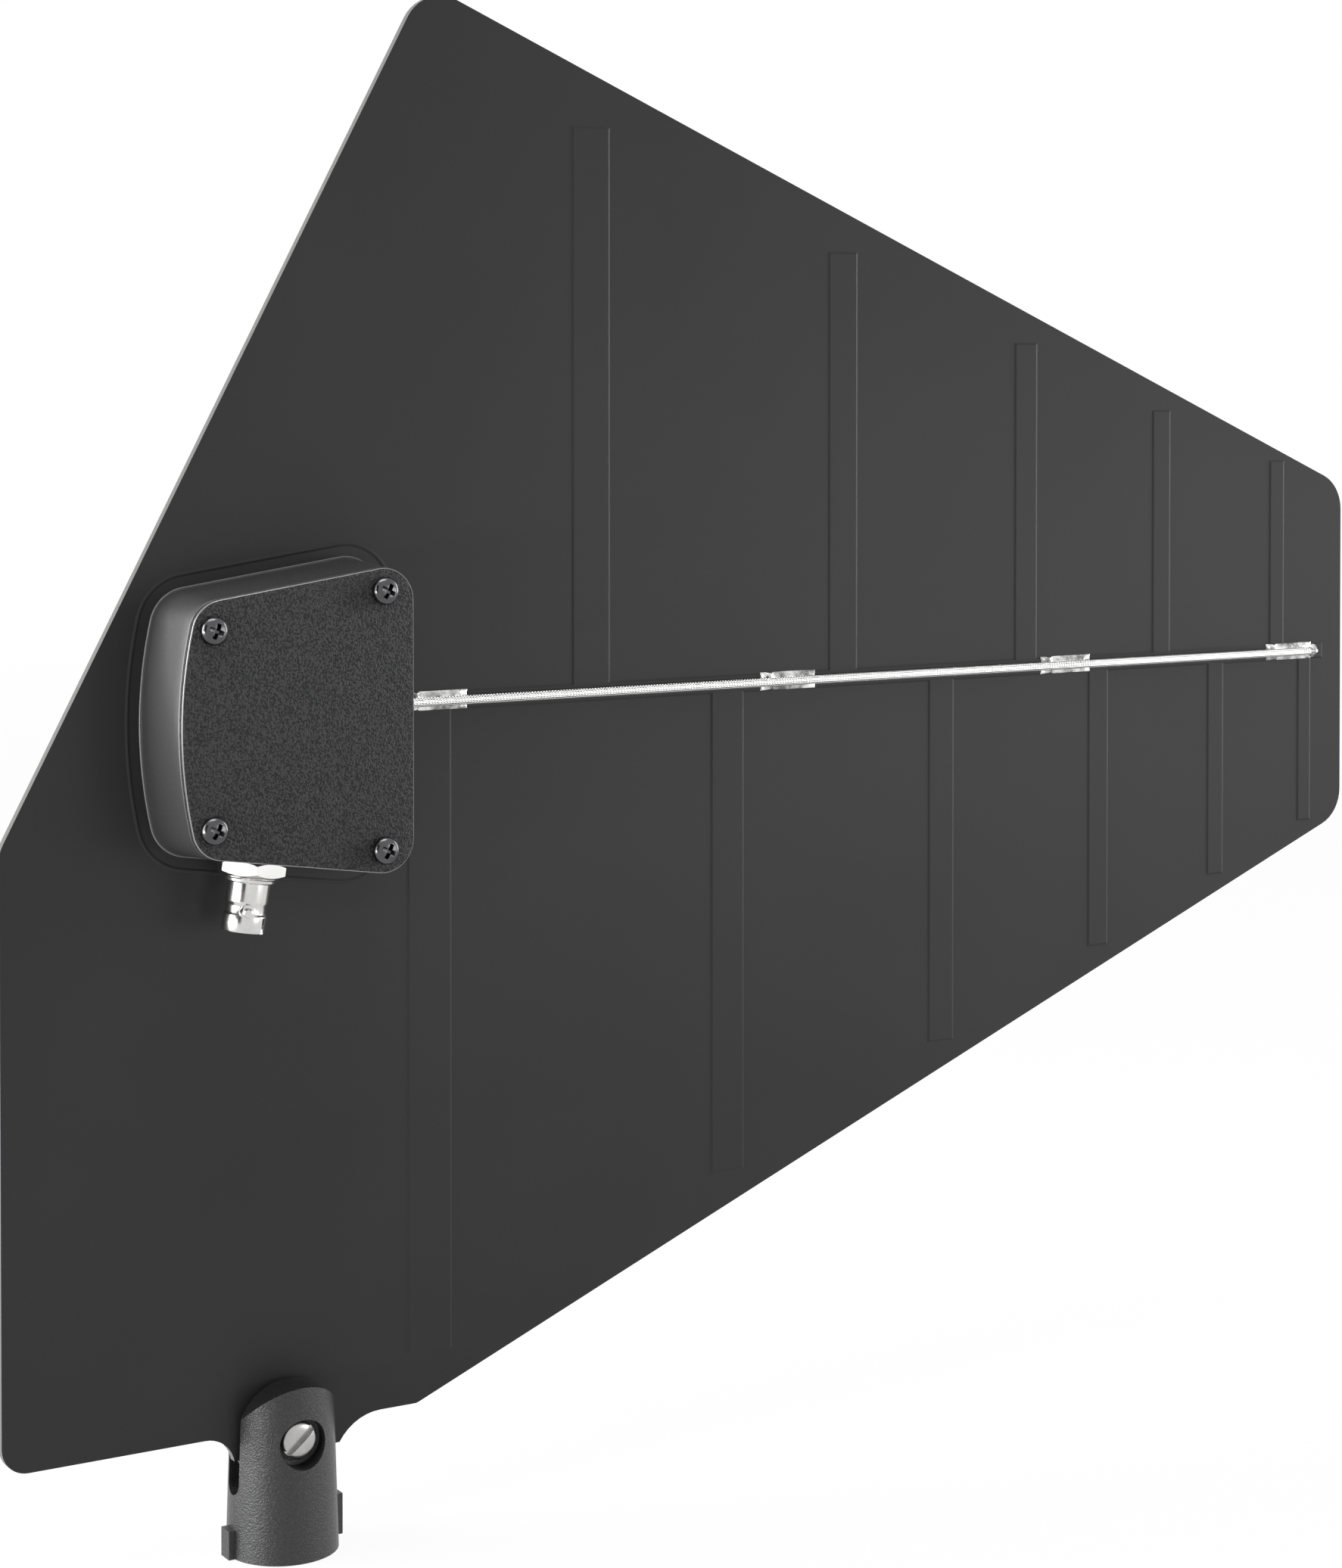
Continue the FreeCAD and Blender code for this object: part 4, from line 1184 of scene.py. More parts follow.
# Coax and solder
@dataclass
class BoomCoax:
    """Braided coax along the boom, its solder joints, and the wire at the nose."""

    level: float = 188.1
    surface: float = 1.2
    radius: float = 1.05
    first_pad: float = 38.3
    pad_pitch: float = 96.2
    pad_ratio: float = 0.888
    pad_count: int = 4
    pad_length: float = 16.0
    pad_width: float = 4.4
    pad_lift: float = 0.16
    pad_thickness: float = 0.15
    pad_rim: float = 0.35
    grid_along: int = 97
    grid_across: int = 41
    bead_length: float = 13.0
    bead_height: float = 0.70
    bead_reach: float = 0.75
    bead_contact: float = 0.75
    bead_ends: float = 6.0
    bead_share: float = 0.72
    waves_a_metre: float = 260.0
    unevenness: float = 1.6
    end_blob: float = 0.55
    blob_place: float = 0.86
    blob_narrowness: float = -60.0
    link_along: float = 304.4
    drop_radius: float = 1.9
    drop_height: float = 1.6
    drop_edge: float = 0.05
    drop_power: float = 1.25
    drop_steps: int = 12
    rear_drop_height: float = 1.0
    seed: float = 7.0

    def build(self) -> None:
        """Dress the coax's pieces and lay its solder."""
        coat_nodes(BRAID, "feed_coax")
        coat_nodes(COPPER, "output_wire")
        coat_nodes(SOLDER, "nose_link")
        coat_nodes(DIELECTRIC, "coax_dielectric")
        dressed(self._joints(), Body.ANTENNA, SOLDER, "solder_joints")
        dressed(self._drop("nose_drop", -1, self.drop_height), Body.ANTENNA, SOLDER)
        dressed(self._drop("rear_drop", 1, self.rear_drop_height), Body.ANTENNA, SOLDER)

    def _joints(self) -> Thing:
        """Tinned pads with solder drawn up against the coax, each a little different.

        Returns:
            The joints as one mesh.
        """
        lengths = {
            "First Pad": self.first_pad,
            "Pad Pitch": self.pad_pitch,
            "Length": self.pad_length,
            "Width": self.pad_width,
            "Thickness": self.pad_thickness,
            "Bead Length": self.bead_length,
            "Bead Height": self.bead_height,
            "Bead Reach": self.bead_reach,
            "End Blob": self.end_blob,
            "Coax Radius": self.radius,
            "Level": self.level + self.pad_lift,
            "Surface": self.surface,
        }
        numbers = {"Joints": self.pad_count, "Ratio": self.pad_ratio, "Seed": self.seed}
        recipe = Recipe("solder_joints", lengths, numbers)
        size, calc, times = recipe.size, recipe.math, recipe.product
        gone = calc("SUBTRACT", 1.0, calc("POWER", size("Ratio"), recipe.order()))
        steps = calc("DIVIDE", gone, calc("SUBTRACT", 1.0, size("Ratio")))
        along = calc("ADD", size("First Pad"), times(size("Pad Pitch"), steps))
        spots = recipe.placed(recipe.points(size("Joints")), along, 0.0, 0.0)
        pad = recipe.add(
            "GeometryNodeMeshGrid",
            Size_X=size("Length"),
            Size_Y=size("Width"),
            Vertices_X=self.grid_along,
            Vertices_Y=self.grid_across,
        ).outputs[0]
        pad = recipe.note(pad, "on_pad", recipe.corner(), "FLOAT_VECTOR", "POINT")
        pads = recipe.realized(recipe.copies(spots, pad))
        corner = recipe.corner()
        place = recipe.parts(corner)
        lifted = recipe.placed(
            pads,
            place["X"],
            times(-1.0, calc("ADD", size("Surface"), self._height(recipe, corner))),
            calc("ADD", size("Level"), place["Y"]),
        )
        smooth = recipe.add("GeometryNodeSetShadeSmooth", Geometry=lifted)
        return recipe.run("solder_beads", smooth.outputs[0], SOLDER)

    def _height(self, recipe: Recipe, corner: Socket) -> Socket:
        """Height of the solder over the board: the pad, the bead along the coax and its end.

        Args:
            recipe: Tree that the nodes go into.
            corner: Place of a corner, for the unevenness.

        Returns:
            Socket with the height, which falls to nothing at the pad's rim.
        """
        size, calc, times = recipe.size, recipe.math, recipe.product
        where = recipe.parts(recipe.noted("on_pad", "FLOAT_VECTOR"))
        ahead, off = (calc("ABSOLUTE", where[axis]) for axis in ("X", "Y"))
        wander = recipe.add(
            "ShaderNodeTexNoise",
            {"noise_dimensions": "4D"},
            Vector=corner,
            W=size("Seed"),
            Scale=self.waves_a_metre,
            Detail=2.0,
        ).outputs["Fac"]
        uneven = times(calc("SUBTRACT", wander, 0.5), self.unevenness)
        contact = times(size("Coax Radius"), self.bead_contact)
        flank = calc("MAXIMUM", 0.0, calc("SUBTRACT", off, contact))
        spread = calc("DIVIDE", flank, size("Bead Reach"))
        fall = calc("POWER", NATURAL_BASE, times(-1.0, times(spread, spread)))
        half = times(size("Bead Length"), 0.5)
        ends = calc("POWER", calc("DIVIDE", ahead, half), self.bead_ends)
        shape = calc("MAXIMUM", 0.0, calc("SUBTRACT", 1.0, ends))
        lift = times(size("Bead Height"), calc("ADD", self.bead_share, uneven))
        bead = times(lift, fall, shape)
        back = calc("DIVIDE", calc("ADD", where["X"], times(half, self.blob_place)), half)
        near = times(back, back, self.blob_narrowness)
        blob = times(size("End Blob"), calc("POWER", NATURAL_BASE, near))
        edge_x = calc("SUBTRACT", times(size("Length"), 0.5), ahead)
        edge_y = calc("SUBTRACT", times(size("Width"), 0.5), off)
        rim = calc("DIVIDE", calc("MINIMUM", edge_x, edge_y), self.pad_rim * MM)
        crown = calc("SQRT", calc("MAXIMUM", 0.0, calc("MINIMUM", 1.0, rim)))
        return times(calc("ADD", size("Thickness"), calc("ADD", bead, blob)), crown)

    def _drop(self, name: str, side: int, height: float) -> Thing:
        """Solder drop that holds the end of the wire.

        Args:
            name: Name of the piece.
            side: -1 on the front face and 1 on the rear face.
            height: Height over the relief.

        Returns:
            The drop.
        """
        profile = [(0.0, 0.0), (self.drop_radius, 0.0)]
        for step in range(self.drop_steps + 1):
            share = step / self.drop_steps
            radius = self.drop_radius * (1.0 - share) ** self.drop_power
            rise = (height - self.drop_edge) * math.sin(share * math.pi / 2)
            profile.append((radius, self.drop_edge + rise))
        place = moved(self.link_along, side * self.surface, self.level) @ turned(-90.0 * side, "X")
        return smoothed(from_bmesh(name, lathe(profile, steps=48), place), angle=60.0)


# Housing
@dataclass
class ConnectorHousing:
    """Moulded housing on the board, with its cover plate and their screws."""

    level: float = 186.6
    face: float = 1.0
    height: float = 18.5
    front: float = 22.8
    rear_corner: float = -28.673
    rear_half: float = 27.4
    crown: float = -32.5
    bow: float = 100.0
    slope: float = 8.4
    corner: float = 7.5
    draft: float = 1.2
    wall: float = 3.0
    wall_steps: int = 6
    smooth_angle: float = 35.0
    lip: float = 0.28
    lip_side: float = 0.18
    lip_round: float = 0.34
    lip_end: float = 0.42
    edge: float = 0.45
    cover_thickness: float = 1.5
    cover_inset: float = 0.12
    cover_edge: float = 0.30
    seam: float = 0.06
    seam_inset: float = 0.25
    notch_height: float = 3.2
    notch_depth: float = 2.7
    seat_radius: float = 8.25
    rim_out: float = 2.6
    rim_width: float = 1.1
    rim_height: float = 0.16
    rim_root: float = -0.2
    screw_head: float = 3.1
    screw_height: float = 2.0
    head_side: float = 0.24
    head_power: float = 0.62
    cross_arm: float = 1.85
    cross_blade: float = 0.50
    cross_depth: float = 1.35
    cross_floor: float = 0.55
    cross_mouth: float = 1.06
    screw_rear: Pair = (-25.1, 21.43)
    screw_front: Pair = (15.6, 28.64)
    screw_count: int = 4
    most_turn: float = 0.55
    seed: int = 4

    def build(self) -> None:
        """Make the walls, the cover, the rim round them and the screws."""
        dressed(self._walls(), Body.ANTENNA, HOUSING, "housing_frame")
        dressed(self._cover(), Body.ANTENNA, COVER, "housing_cover")
        dressed(self._rim(), Body.ANTENNA, BOARD)
        # The lip edge and the cover's bevel take the lighter finish: painted highlights.
        dressed(self._lip_edge(), Body.ANTENNA, PAINTED_HIGHLIGHT)
        dressed(self._cover_bevel(), Body.ANTENNA, PAINTED_HIGHLIGHT)
        front = self.face + self.height + self.cover_thickness
        dressed(self._screws("cover_heads", -front, -1), Body.ANTENNA, SCREW, "cover_screws")
        dressed(self._screws("panel_heads", self.face, 1), Body.ANTENNA, SCREW, "panel_screws")

    def outline(self, grow: float, bow_steps: int = 28, corner_steps: int = 10) -> list[Pair]:
        """Rounded outline with a bowed rear edge, about the housing's own axis.

        Args:
            grow: Offset outwards in millimetres.
            bow_steps: Steps along the bow.
            corner_steps: Steps round a corner.

        Returns:
            Points anticlockwise, as pairs along the boom and up.
        """
        tilt = math.radians(self.slope)
        normal = Vector((-math.sin(tilt), math.cos(tilt)))
        reach = normal.dot(Vector((self.rear_corner, self.rear_half))) - self.corner
        ahead = self.front - self.corner
        front_half = (reach - normal.x * ahead) / normal.y
        middle = self.crown + self.bow
        core = self.bow - self.corner
        along = Vector((normal.y, -normal.x))
        start = normal * reach - Vector((middle, 0.0))
        half = start.dot(along)
        step = -half - math.sqrt(half * half - start.length_squared + core * core)
        rear = start + along * step + Vector((middle, 0.0))
        radius = self.corner + grow
        bow_turn = math.atan2(rear.y, rear.x - middle)
        top_turn = math.atan2(normal.y, normal.x)
        full = 2.0 * math.pi
        arcs = (
            ((ahead, -front_half), radius, -top_turn, 0.0, corner_steps),
            ((ahead, front_half), radius, 0.0, top_turn, corner_steps),
            (rear, radius, top_turn, bow_turn, corner_steps),
            ((middle, 0.0), self.bow + grow, bow_turn, full - bow_turn, bow_steps),
            ((rear.x, -rear.y), radius, full - bow_turn, full - top_turn, corner_steps),
        )
        points = []
        for centre, size, first, last, steps in arcs:
            for index in range(steps + 1):
                turn = first + (last - first) * index / steps
                point = (centre[0] + size * math.cos(turn), centre[1] + size * math.sin(turn))
                if not points or math.dist(points[-1], point) > 1e-4:
                    points.append(point)
        return points

    def _loft(self, name: str, rings: Sequence[Pair], closed: bool = True) -> Thing:
        """Join rings of the outline, each at its own offset and depth.

        Args:
            name: Name of the piece.
            rings: Pairs of offset and height over the board.
            closed: Whether the last ring joins the first, as a wall does, or both are capped.

        Returns:
            The piece, in place.
        """
        made = [
            [(x, -(self.face + height), self.level + z) for x, z in self.outline(grow)]
            for grow, height in rings
        ]
        return smoothed(from_bmesh(name, skinned(made, closed)), self.smooth_angle)

    def _walls(self) -> Thing:
        """Drafted walls with a lip at the board and a rounded edge under the cover.

        Returns:
            The walls, with the seat for the connector and the notch for the coax.
        """
        foot = self.draft + self.lip
        rings = [
            (foot, 0.0),
            (foot, self.lip_side),
            (self.draft + self.lip * 0.8, self.lip_round),
            (self.draft + 0.02, self.lip_end),
        ]
        rise = self.height - self.edge - self.lip_end
        for index in range(1, self.wall_steps):
            share = index / self.wall_steps
            rings.append((self.draft * (1.0 - share), self.lip_end + rise * share))
        rings += rounded(0.0, self.height, self.edge, steps=4)
        rings += [(-self.wall, self.height), (-self.wall, 0.0)]
        walls = self._loft("housing_walls", rings)
        walls = combined(walls, BayonetJack().seat_tool(self.seat_radius), Join.CUT)
        return smoothed(combined(walls, self._notch_tool(), Join.CUT), self.smooth_angle)

    def _notch_tool(self) -> Thing:
        """Block that cuts the notch for the coax through the front wall.

        Returns:
            The block, in place.
        """
        half = self.notch_height / 2
        deep = self.notch_depth - half
        outline = [(-half, -1.0), (half, -1.0), (half, deep)]
        for index in range(1, 8):
            turn = math.pi * index / 8
            outline.append((half * math.cos(turn), deep + half * math.sin(turn)))
        outline.append((-half, deep))
        solid = prism(outline, self.front - self.wall - 1.0, self.front + self.draft + 1.0)
        lay = Matrix(((0, 0, 1, 0), (0, -1, 0, 0), (1, 0, 0, 0), (0, 0, 0, 1)))
        place = moved(0.0, -self.face, BoomCoax().level) @ lay
        return outward(from_bmesh("coax_notch", solid, place))

    def _cover(self) -> Thing:
        """Cover plate with a bevelled edge over a fine seam.

        Returns:
            The plate, in place.
        """
        low = self.height + self.seam
        out = -self.cover_inset
        rings = [(out - self.seam_inset, self.height), (out - self.seam_inset, low), (out, low)]
        rings += rounded(out, self.height + self.cover_thickness, self.cover_edge, steps=3)
        return self._loft("cover_plate", rings, closed=False)

    def _rim(self) -> Thing:
        """Faint raised line in the coating round the housing.

        Returns:
            The line, in place.
        """
        out = self.draft + self.rim_out
        rings = [
            (out + self.rim_width, 0.0),
            (out + self.rim_width * 0.62, self.rim_height * 0.8),
            (out + self.rim_width * 0.5, self.rim_height),
            (out + self.rim_width * 0.38, self.rim_height * 0.8),
            (out, 0.0),
            (out, self.rim_root),
            (out + self.rim_width, self.rim_root),
        ]
        return self._loft("coat_rim", rings)

    def _lip_edge(self) -> Thing:
        """Outer edge of the lip, in a lighter copy of the dark finish: a painted highlight.

        Returns:
            The edge, in place.
        """
        out = self.draft + self.lip
        rings = [(out - 0.12, 0.02), (out + 0.10, 0.02), (out - 0.06, 0.34), (out - 0.12, 0.30)]
        return self._loft("lip_edge", rings)

    def _cover_bevel(self) -> Thing:
        """Bevel along the cover's front edge, in a lighter copy of the dark finish: a painted
        highlight.

        Returns:
            The bevel, in place.
        """
        high = self.height + self.cover_thickness
        out = -self.cover_inset
        edge = self.cover_edge
        rings = [
            (out - edge * 0.30, high - edge * 1.05),
            (out + 0.02, high - edge * 1.05),
            (out - edge * 0.10, high - edge * 0.40),
            (out - edge * 0.55, high - 0.015),
            (out - edge * 0.90, high - 0.06),
        ]
        return self._loft("cover_bevel", rings)

    def _screw_head(self) -> Thing:
        """Domed pan head with a cross recess, standing on z = 0.

        Returns:
            The head.
        """
        radius, height = self.screw_head, self.screw_height
        side = height * self.head_side
        profile = [(0.0, 0.0), (radius * 0.97, 0.0), (radius, height * 0.06), (radius, side)]
        profile += dome(radius, height, self.head_side, self.head_power, steps=9)
        head = from_bmesh("screw_blank", lathe(profile, steps=40))
        ends = (
            (height - self.cross_depth, self.cross_floor),
            (height + 0.2, self.cross_mouth),
        )
        for x, y in ((self.cross_arm, self.cross_blade), (self.cross_blade, self.cross_arm)):
            square = ((-x, -y), (x, -y), (x, y), (-x, y))
            blade = skinned([[(a * grow, b * grow, z) for a, b in square] for z, grow in ends])
            head = combined(head, from_bmesh("cross_blade", blade), Join.CUT)
        return eased(head, width=0.09, angle=40.0)

    def _screws(self, name: str, depth: float, side: int) -> Thing:
        """Four screw heads at the corners, each turned its own way.

        Args:
            name: Name of the piece.
            depth: Place of the seat along y.
            side: -1 where the heads face the front and 1 where they face the rear.

        Returns:
            The heads as one mesh.
        """
        head = self._screw_head()
        lengths = {
            "Rear Along": self.screw_rear[0],
            "Rear Rise": self.screw_rear[1],
            "Front Along": self.screw_front[0],
            "Front Rise": self.screw_front[1],
            "Level": self.level,
            "Depth": depth,
        }
        numbers = {
            "Tilt": -side * math.pi / 2,
            "Most Turn": self.most_turn,
            "Seed": self.seed + side,
        }
        recipe = Recipe(name, lengths, numbers)
        size, calc, times = recipe.size, recipe.math, recipe.product
        order = recipe.order()
        ahead = calc("GREATER_THAN", order, 1.5)
        along, rise = (
            times(ahead, calc("SUBTRACT", size(f"Front {way}"), size(f"Rear {way}")))
            for way in ("Along", "Rise")
        )
        up = calc("SUBTRACT", times(calc("MODULO", order, 2.0), 2.0), 1.0)
        spots = recipe.placed(
            recipe.points(self.screw_count),
            calc("ADD", size("Rear Along"), along),
            size("Depth"),
            calc("ADD", size("Level"), times(up, calc("ADD", size("Rear Rise"), rise))),
        )
        turn = recipe.add("FunctionNodeRandomValue", {"data_type": "FLOAT"}, Seed=size("Seed"))
        recipe.feed(turn.inputs[2], 0.0)
        recipe.feed(turn.inputs[3], size("Most Turn"))
        pattern = recipe.add("GeometryNodeObjectInfo", Object=head).outputs["Geometry"]
        stance = recipe.xyz(size("Tilt"), turn.outputs[1], 0.0)
        heads = recipe.run(name, recipe.copies(spots, pattern, Rotation=stance), SCREW)
        bpy.data.objects.remove(head)
        return heads


# Connector
@dataclass
class BayonetJack:
    """Panel jack with its nut, its insulator and its contact, on a sloping axis."""

    foot: Point = (-12.0, -11.304, 156.738)
    slope: float = 8.4
    turn: float = 18.0
    flats: float = 14.0
    nut_height: float = 3.2
    nut_turn: float = -93.0
    chamfer: float = 30.0
    chamfer_start: float = 0.985
    thread_radius: float = 6.2
    thread_end: float = 4.6
    pitch: float = 0.72
    thread_depth: float = 0.38
    barrel: float = 4.8
    waist: float = 4.45
    waist_start: float = 8.8
    waist_end: float = 10.1
    collar_radius: float = 4.85
    collar: float = 12.1
    collar_run: float = 0.85
    mouth: float = 15.6
    bore: float = 4.1
    floor: float = 6.4
    stud_radius: float = 1.05
    stud_out: float = 6.3
    stud_from_mouth: float = 4.5
    slit_width: float = 0.8
    slit_turn: float = 52.0

    def build(self) -> None:
        """Make the body and the nut, and dress the pieces inside."""
        dressed(self._body(), Body.ANTENNA, NICKEL, "bnc_body")
        dressed(self._nut(), Body.ANTENNA, NICKEL, "bnc_nut")
        coat_nodes(TAG, "bnc_ground_tag")
        coat_nodes(DIELECTRIC, "bnc_insulator")
        coat_nodes(GOLD, "bnc_contact")

    def place(self, turn: float = 0.0) -> Matrix:
        """Stand a piece drawn about z on the jack's axis, turned about it in degrees."""
        return moved(*self.foot) @ turned(180.0 + self.slope, "Y") @ turned(turn, "Z")

    def seat_tool(self, radius: float) -> Thing:
        """Cylinder that cuts the flat seat for the nut and the hole below it.

        Args:
            radius: Radius of the seat.

        Returns:
            The cylinder, in place.
        """
        hole = self.thread_radius + 0.1
        profile = [(0.0, -6.0), (hole, -6.0), (hole, 0.0), (radius, 0.0), (radius, 4.0), (0.0, 4.0)]
        return from_bmesh("connector_seat", lathe(profile), self.place())

    def _body(self) -> Thing:
        """Body with its thread, waist, collar, studs and slit.

        Returns:
            The body, in place.
        """
        profile = [(0.0, -9.0), (self.barrel, -9.0), (self.barrel, -1.0)]
        profile.append((self.thread_radius, -1.0))
        low = self.thread_radius - self.thread_depth
        crest = self.thread_radius - 0.05
        height = self.nut_height - self.pitch
        while height + self.pitch < self.thread_end:
            profile.append((low, height))
            profile += [(crest, height + self.pitch * share) for share in (0.42, 0.58)]
            height += self.pitch
        profile += [(low, height), (low - 0.1, self.thread_end - 0.1), (low - 0.3, self.thread_end)]
        profile += [(self.barrel + 0.25, self.thread_end), (self.barrel, self.thread_end + 0.25)]
        profile += self._curve(self.barrel, self.waist_start, self.waist, self.waist_end)
        start = self.collar - self.collar_run
        profile += self._curve(self.waist, start, self.collar_radius, self.collar)
        rim = self.mouth
        profile += [(self.collar_radius, rim - 0.3), (self.collar_radius - 0.1, rim - 0.08)]
        profile += [(self.collar_radius - 0.28, rim), (self.bore + 0.18, rim)]
        profile += [(self.bore, rim - 0.2), (self.bore, self.floor), (0.0, self.floor)]
        body = from_bmesh("jack_body", lathe(profile, steps=128), self.place())
        for side in (-90.0, 90.0):
            body = combined(body, self._stud(side), Join.FUSE)
        return smoothed(combined(body, self._slit(), Join.CUT), angle=28.0)

    @staticmethod
    def _curve(
        radius: float, height: float, new_radius: float, new_height: float, steps: int = 8
    ) -> list[Pair]:
        """Soft S-shaped change of radius.

        Args:
            radius: Radius at the start.
            height: Height at the start.
            new_radius: Radius at the end.
            new_height: Height at the end.
            steps: Number of steps.

        Returns:
            Profile points from the start to the end.
        """
        points = []
        for index in range(steps + 1):
            share = index / steps
            ease = 0.5 - 0.5 * math.cos(math.pi * share)
            rise = (new_height - height) * share
            points.append((radius + (new_radius - radius) * ease, height + rise))
        return points

    def _stud(self, side: float) -> Thing:
        """Bayonet stud with the swaged pad round its foot.

        Args:
            side: Turn of the stud about the axis in degrees, from the jack's own turn.

        Returns:
            The stud, in place.
        """
        radius, waist, top = self.stud_radius, self.waist, self.stud_out
        profile = [
            (0.0, waist - 0.35),
            (radius * 1.75, waist - 0.35),
            (radius * 1.62, waist + 0.14),
            (radius * 1.30, waist + 0.30),
            (radius * 1.04, waist + 0.36),
            (radius, waist + 0.45),
            (radius, top - 0.22),
            (radius - 0.22, top),
            (0.0, top),
        ]
        shift = moved(0.0, 0.0, self.mouth - self.stud_from_mouth)
        place = self.place(self.turn + side) @ shift @ turned(90.0, "Y")
        return from_bmesh("jack_stud", lathe(profile, steps=40), place)

    def _slit(self) -> Thing:
        """Block that cuts the slit through the collar.

        Returns:
            The block, in place.
        """
        half = self.slit_width / 2
        outline = [(2.0, -half), (self.barrel * 2, -half), (self.barrel * 2, half), (2.0, half)]
        solid = prism(outline, self.collar + 0.05, self.mouth + 1.0)
        return from_bmesh("slit_tool", solid, self.place(self.turn - 90.0 - self.slit_turn))

    def _nut(self) -> Thing:
        """Hexagon nut with both faces chamfered.

        Returns:
            The nut, in place.
        """
        top = self.nut_height
        corner = self.flats / 2 / math.cos(math.radians(30.0))
        turns = [math.radians(60.0 * index) for index in range(6)]
        hexagon = [(corner * math.cos(turn), corner * math.sin(turn)) for turn in turns]
        nut = from_bmesh("jack_nut", prism(hexagon, 0.0, top))
        narrow = self.flats / 2 * self.chamfer_start
        wide = corner + 0.1
        drop = (wide - narrow) * math.tan(math.radians(self.chamfer))
        profile = [(0.0, -0.001), (narrow, -0.001), (wide, drop)]
        profile += [(wide, top - drop), (narrow, top + 0.001), (0.0, top + 0.001)]
        nut = combined(nut, from_bmesh("chamfer_tool", lathe(profile, steps=120)), Join.KEEP_COMMON)
        bore = self.thread_radius - 0.02
        hole = [(0.0, -1.0), (bore, -1.0), (bore, top - 0.35)]
        hole += [(self.thread_radius + 0.4, top + 0.1), (0.0, top + 0.1)]
        nut = combined(nut, from_bmesh("bore_tool", lathe(hole)), Join.CUT)
        nut.data.transform(self.place(self.turn + self.nut_turn))
        return eased(nut, width=0.10, angle=20.0)


# Stand adapter
@dataclass
class StandAdapter:
    """Swivel adapter with its insert, pivot screw, nut and washers."""

    edge: float = 0.35
    pivot: float = 26.5
    floor: float = 7.2
    recess_radius: float = 5.55
    recess_along: float = 0.2
    recess_drop: float = 0.45
    recess_height: float = 9.0
    shank: float = 2.5
    shank_length: float = 18.9
    head: float = 4.1
    head_height: float = 2.7
    head_side: float = 0.70
    head_power: float = 0.55
    driver_width: float = 1.5
    driver_depth: float = 1.3
    driver_turn: float = 40.0
    thread_radius: float = 7.5
    thread_pitch: float = 0.94
    thread_depth: float = 0.45
    thread_start: float = 0.3
    insert_radius: float = 8.9
    insert_length: float = 11.0

    def build(self) -> None:
        """Soften the adapter and the pivot screw, cut the thread and finish the pieces."""
        shell = combined(merged_copy("stand_adapter", "adapter_shell"), self._recess(), Join.CUT)
        dressed(eased(shell, self.edge, segments=3), Body.ADAPTER, ADAPTER, "stand_adapter")
        dressed(self._pivot_screw(), Body.ADAPTER, STEEL, "pivot_screw")
        nut = eased(merged_copy("pivot_nut", "pivot_nut_body"), width=0.12)
        dressed(nut, Body.ADAPTER, STEEL, "pivot_nut")
        dressed(self._insert(), Body.ADAPTER, BRASS, "thread_insert")
        coat_nodes(WASHER, "front_washer", "rear_washer")

    def _recess(self) -> Thing:
        """Cylinder that opens the recess round the screw's head a little downwards.

        Returns:
            The cylinder, in place.
        """
        radius, height = self.recess_radius, self.recess_height
        profile = [(0.0, 0.0), (radius, 0.0), (radius, height), (0.0, height)]
        spot = moved(self.recess_along, -self.floor - 0.02, self.pivot - self.recess_drop)
        return from_bmesh("recess_tool", lathe(profile), spot @ turned(90.0, "X"))

    def _pivot_screw(self) -> Thing:
        """Pivot screw with a low domed head and its driver slot.

        Returns:
            The screw, in place.
        """
        top = self.head_height
        profile = [(0.0, -self.shank_length), (self.shank - 0.3, -self.shank_length)]
        profile += [(self.shank, 0.3 - self.shank_length), (self.shank, 0.0)]
        profile += [(self.head - 0.1, 0.0), (self.head, 0.1), (self.head, top * self.head_side)]
        profile += dome(self.head, top, self.head_side, self.head_power, steps=10)
        screw = from_bmesh("pivot_blank", lathe(profile, steps=72))
        reach, half = self.head * 2, self.driver_width / 2
        outline = [(-reach, -half), (reach, -half), (reach, half), (-reach, half)]
        driver = prism(outline, top - self.driver_depth, top + 1.0)
        tool = from_bmesh("driver_tool", driver, turned(self.driver_turn, "Z"))
        screw = combined(screw, tool, Join.CUT)
        screw.data.transform(moved(0.0, -self.floor, self.pivot) @ turned(90.0, "X"))
        return eased(screw, width=0.10, angle=35.0)

    def _insert(self) -> Thing:
        """Brass insert with the turns of its thread.

        Returns:
            The insert, in place.
        """
        inner = self.thread_radius
        outer = inner + self.thread_depth
        profile = [(self.insert_radius, 0.0), (self.insert_radius, self.insert_length)]
        profile.append((outer, self.insert_length))
        height = self.insert_length - self.thread_start
        while height - self.thread_pitch > self.thread_start:
            profile.append((outer, height))
            profile += [(inner, height - self.thread_pitch * share) for share in (0.42, 0.58)]
            height -= self.thread_pitch
        profile += [(outer, height), (outer + 0.2, 0.0)]
        return smoothed(from_bmesh("insert_thread", lathe(profile)), angle=25.0)


# Studio
@dataclass(frozen=True)
class Softbox:
    """Rectangular lamp that faces a point."""

    name: str
    place: Point
    aim: Point
    width: float
    height: float
    level: float

    def build(self) -> None:
        """Make the lamp. Its level is the light that its own surface shows."""
        lamp = bpy.data.lights.new(self.name, "AREA")
        lamp.shape = "RECTANGLE"
        lamp.size = self.width * MM
        lamp.size_y = self.height * MM
        area = self.width * self.height * MM * MM
        lamp.energy = self.level * math.pi * area
        holder = bpy.data.objects.new(self.name, lamp)
        bpy.context.scene.collection.objects.link(holder)
        holder.location = [c * MM for c in self.place]
        way = Vector(self.aim) - Vector(self.place)
        holder.rotation_euler = way.to_track_quat("-Z", "Y").to_euler()
        holder.visible_camera = False


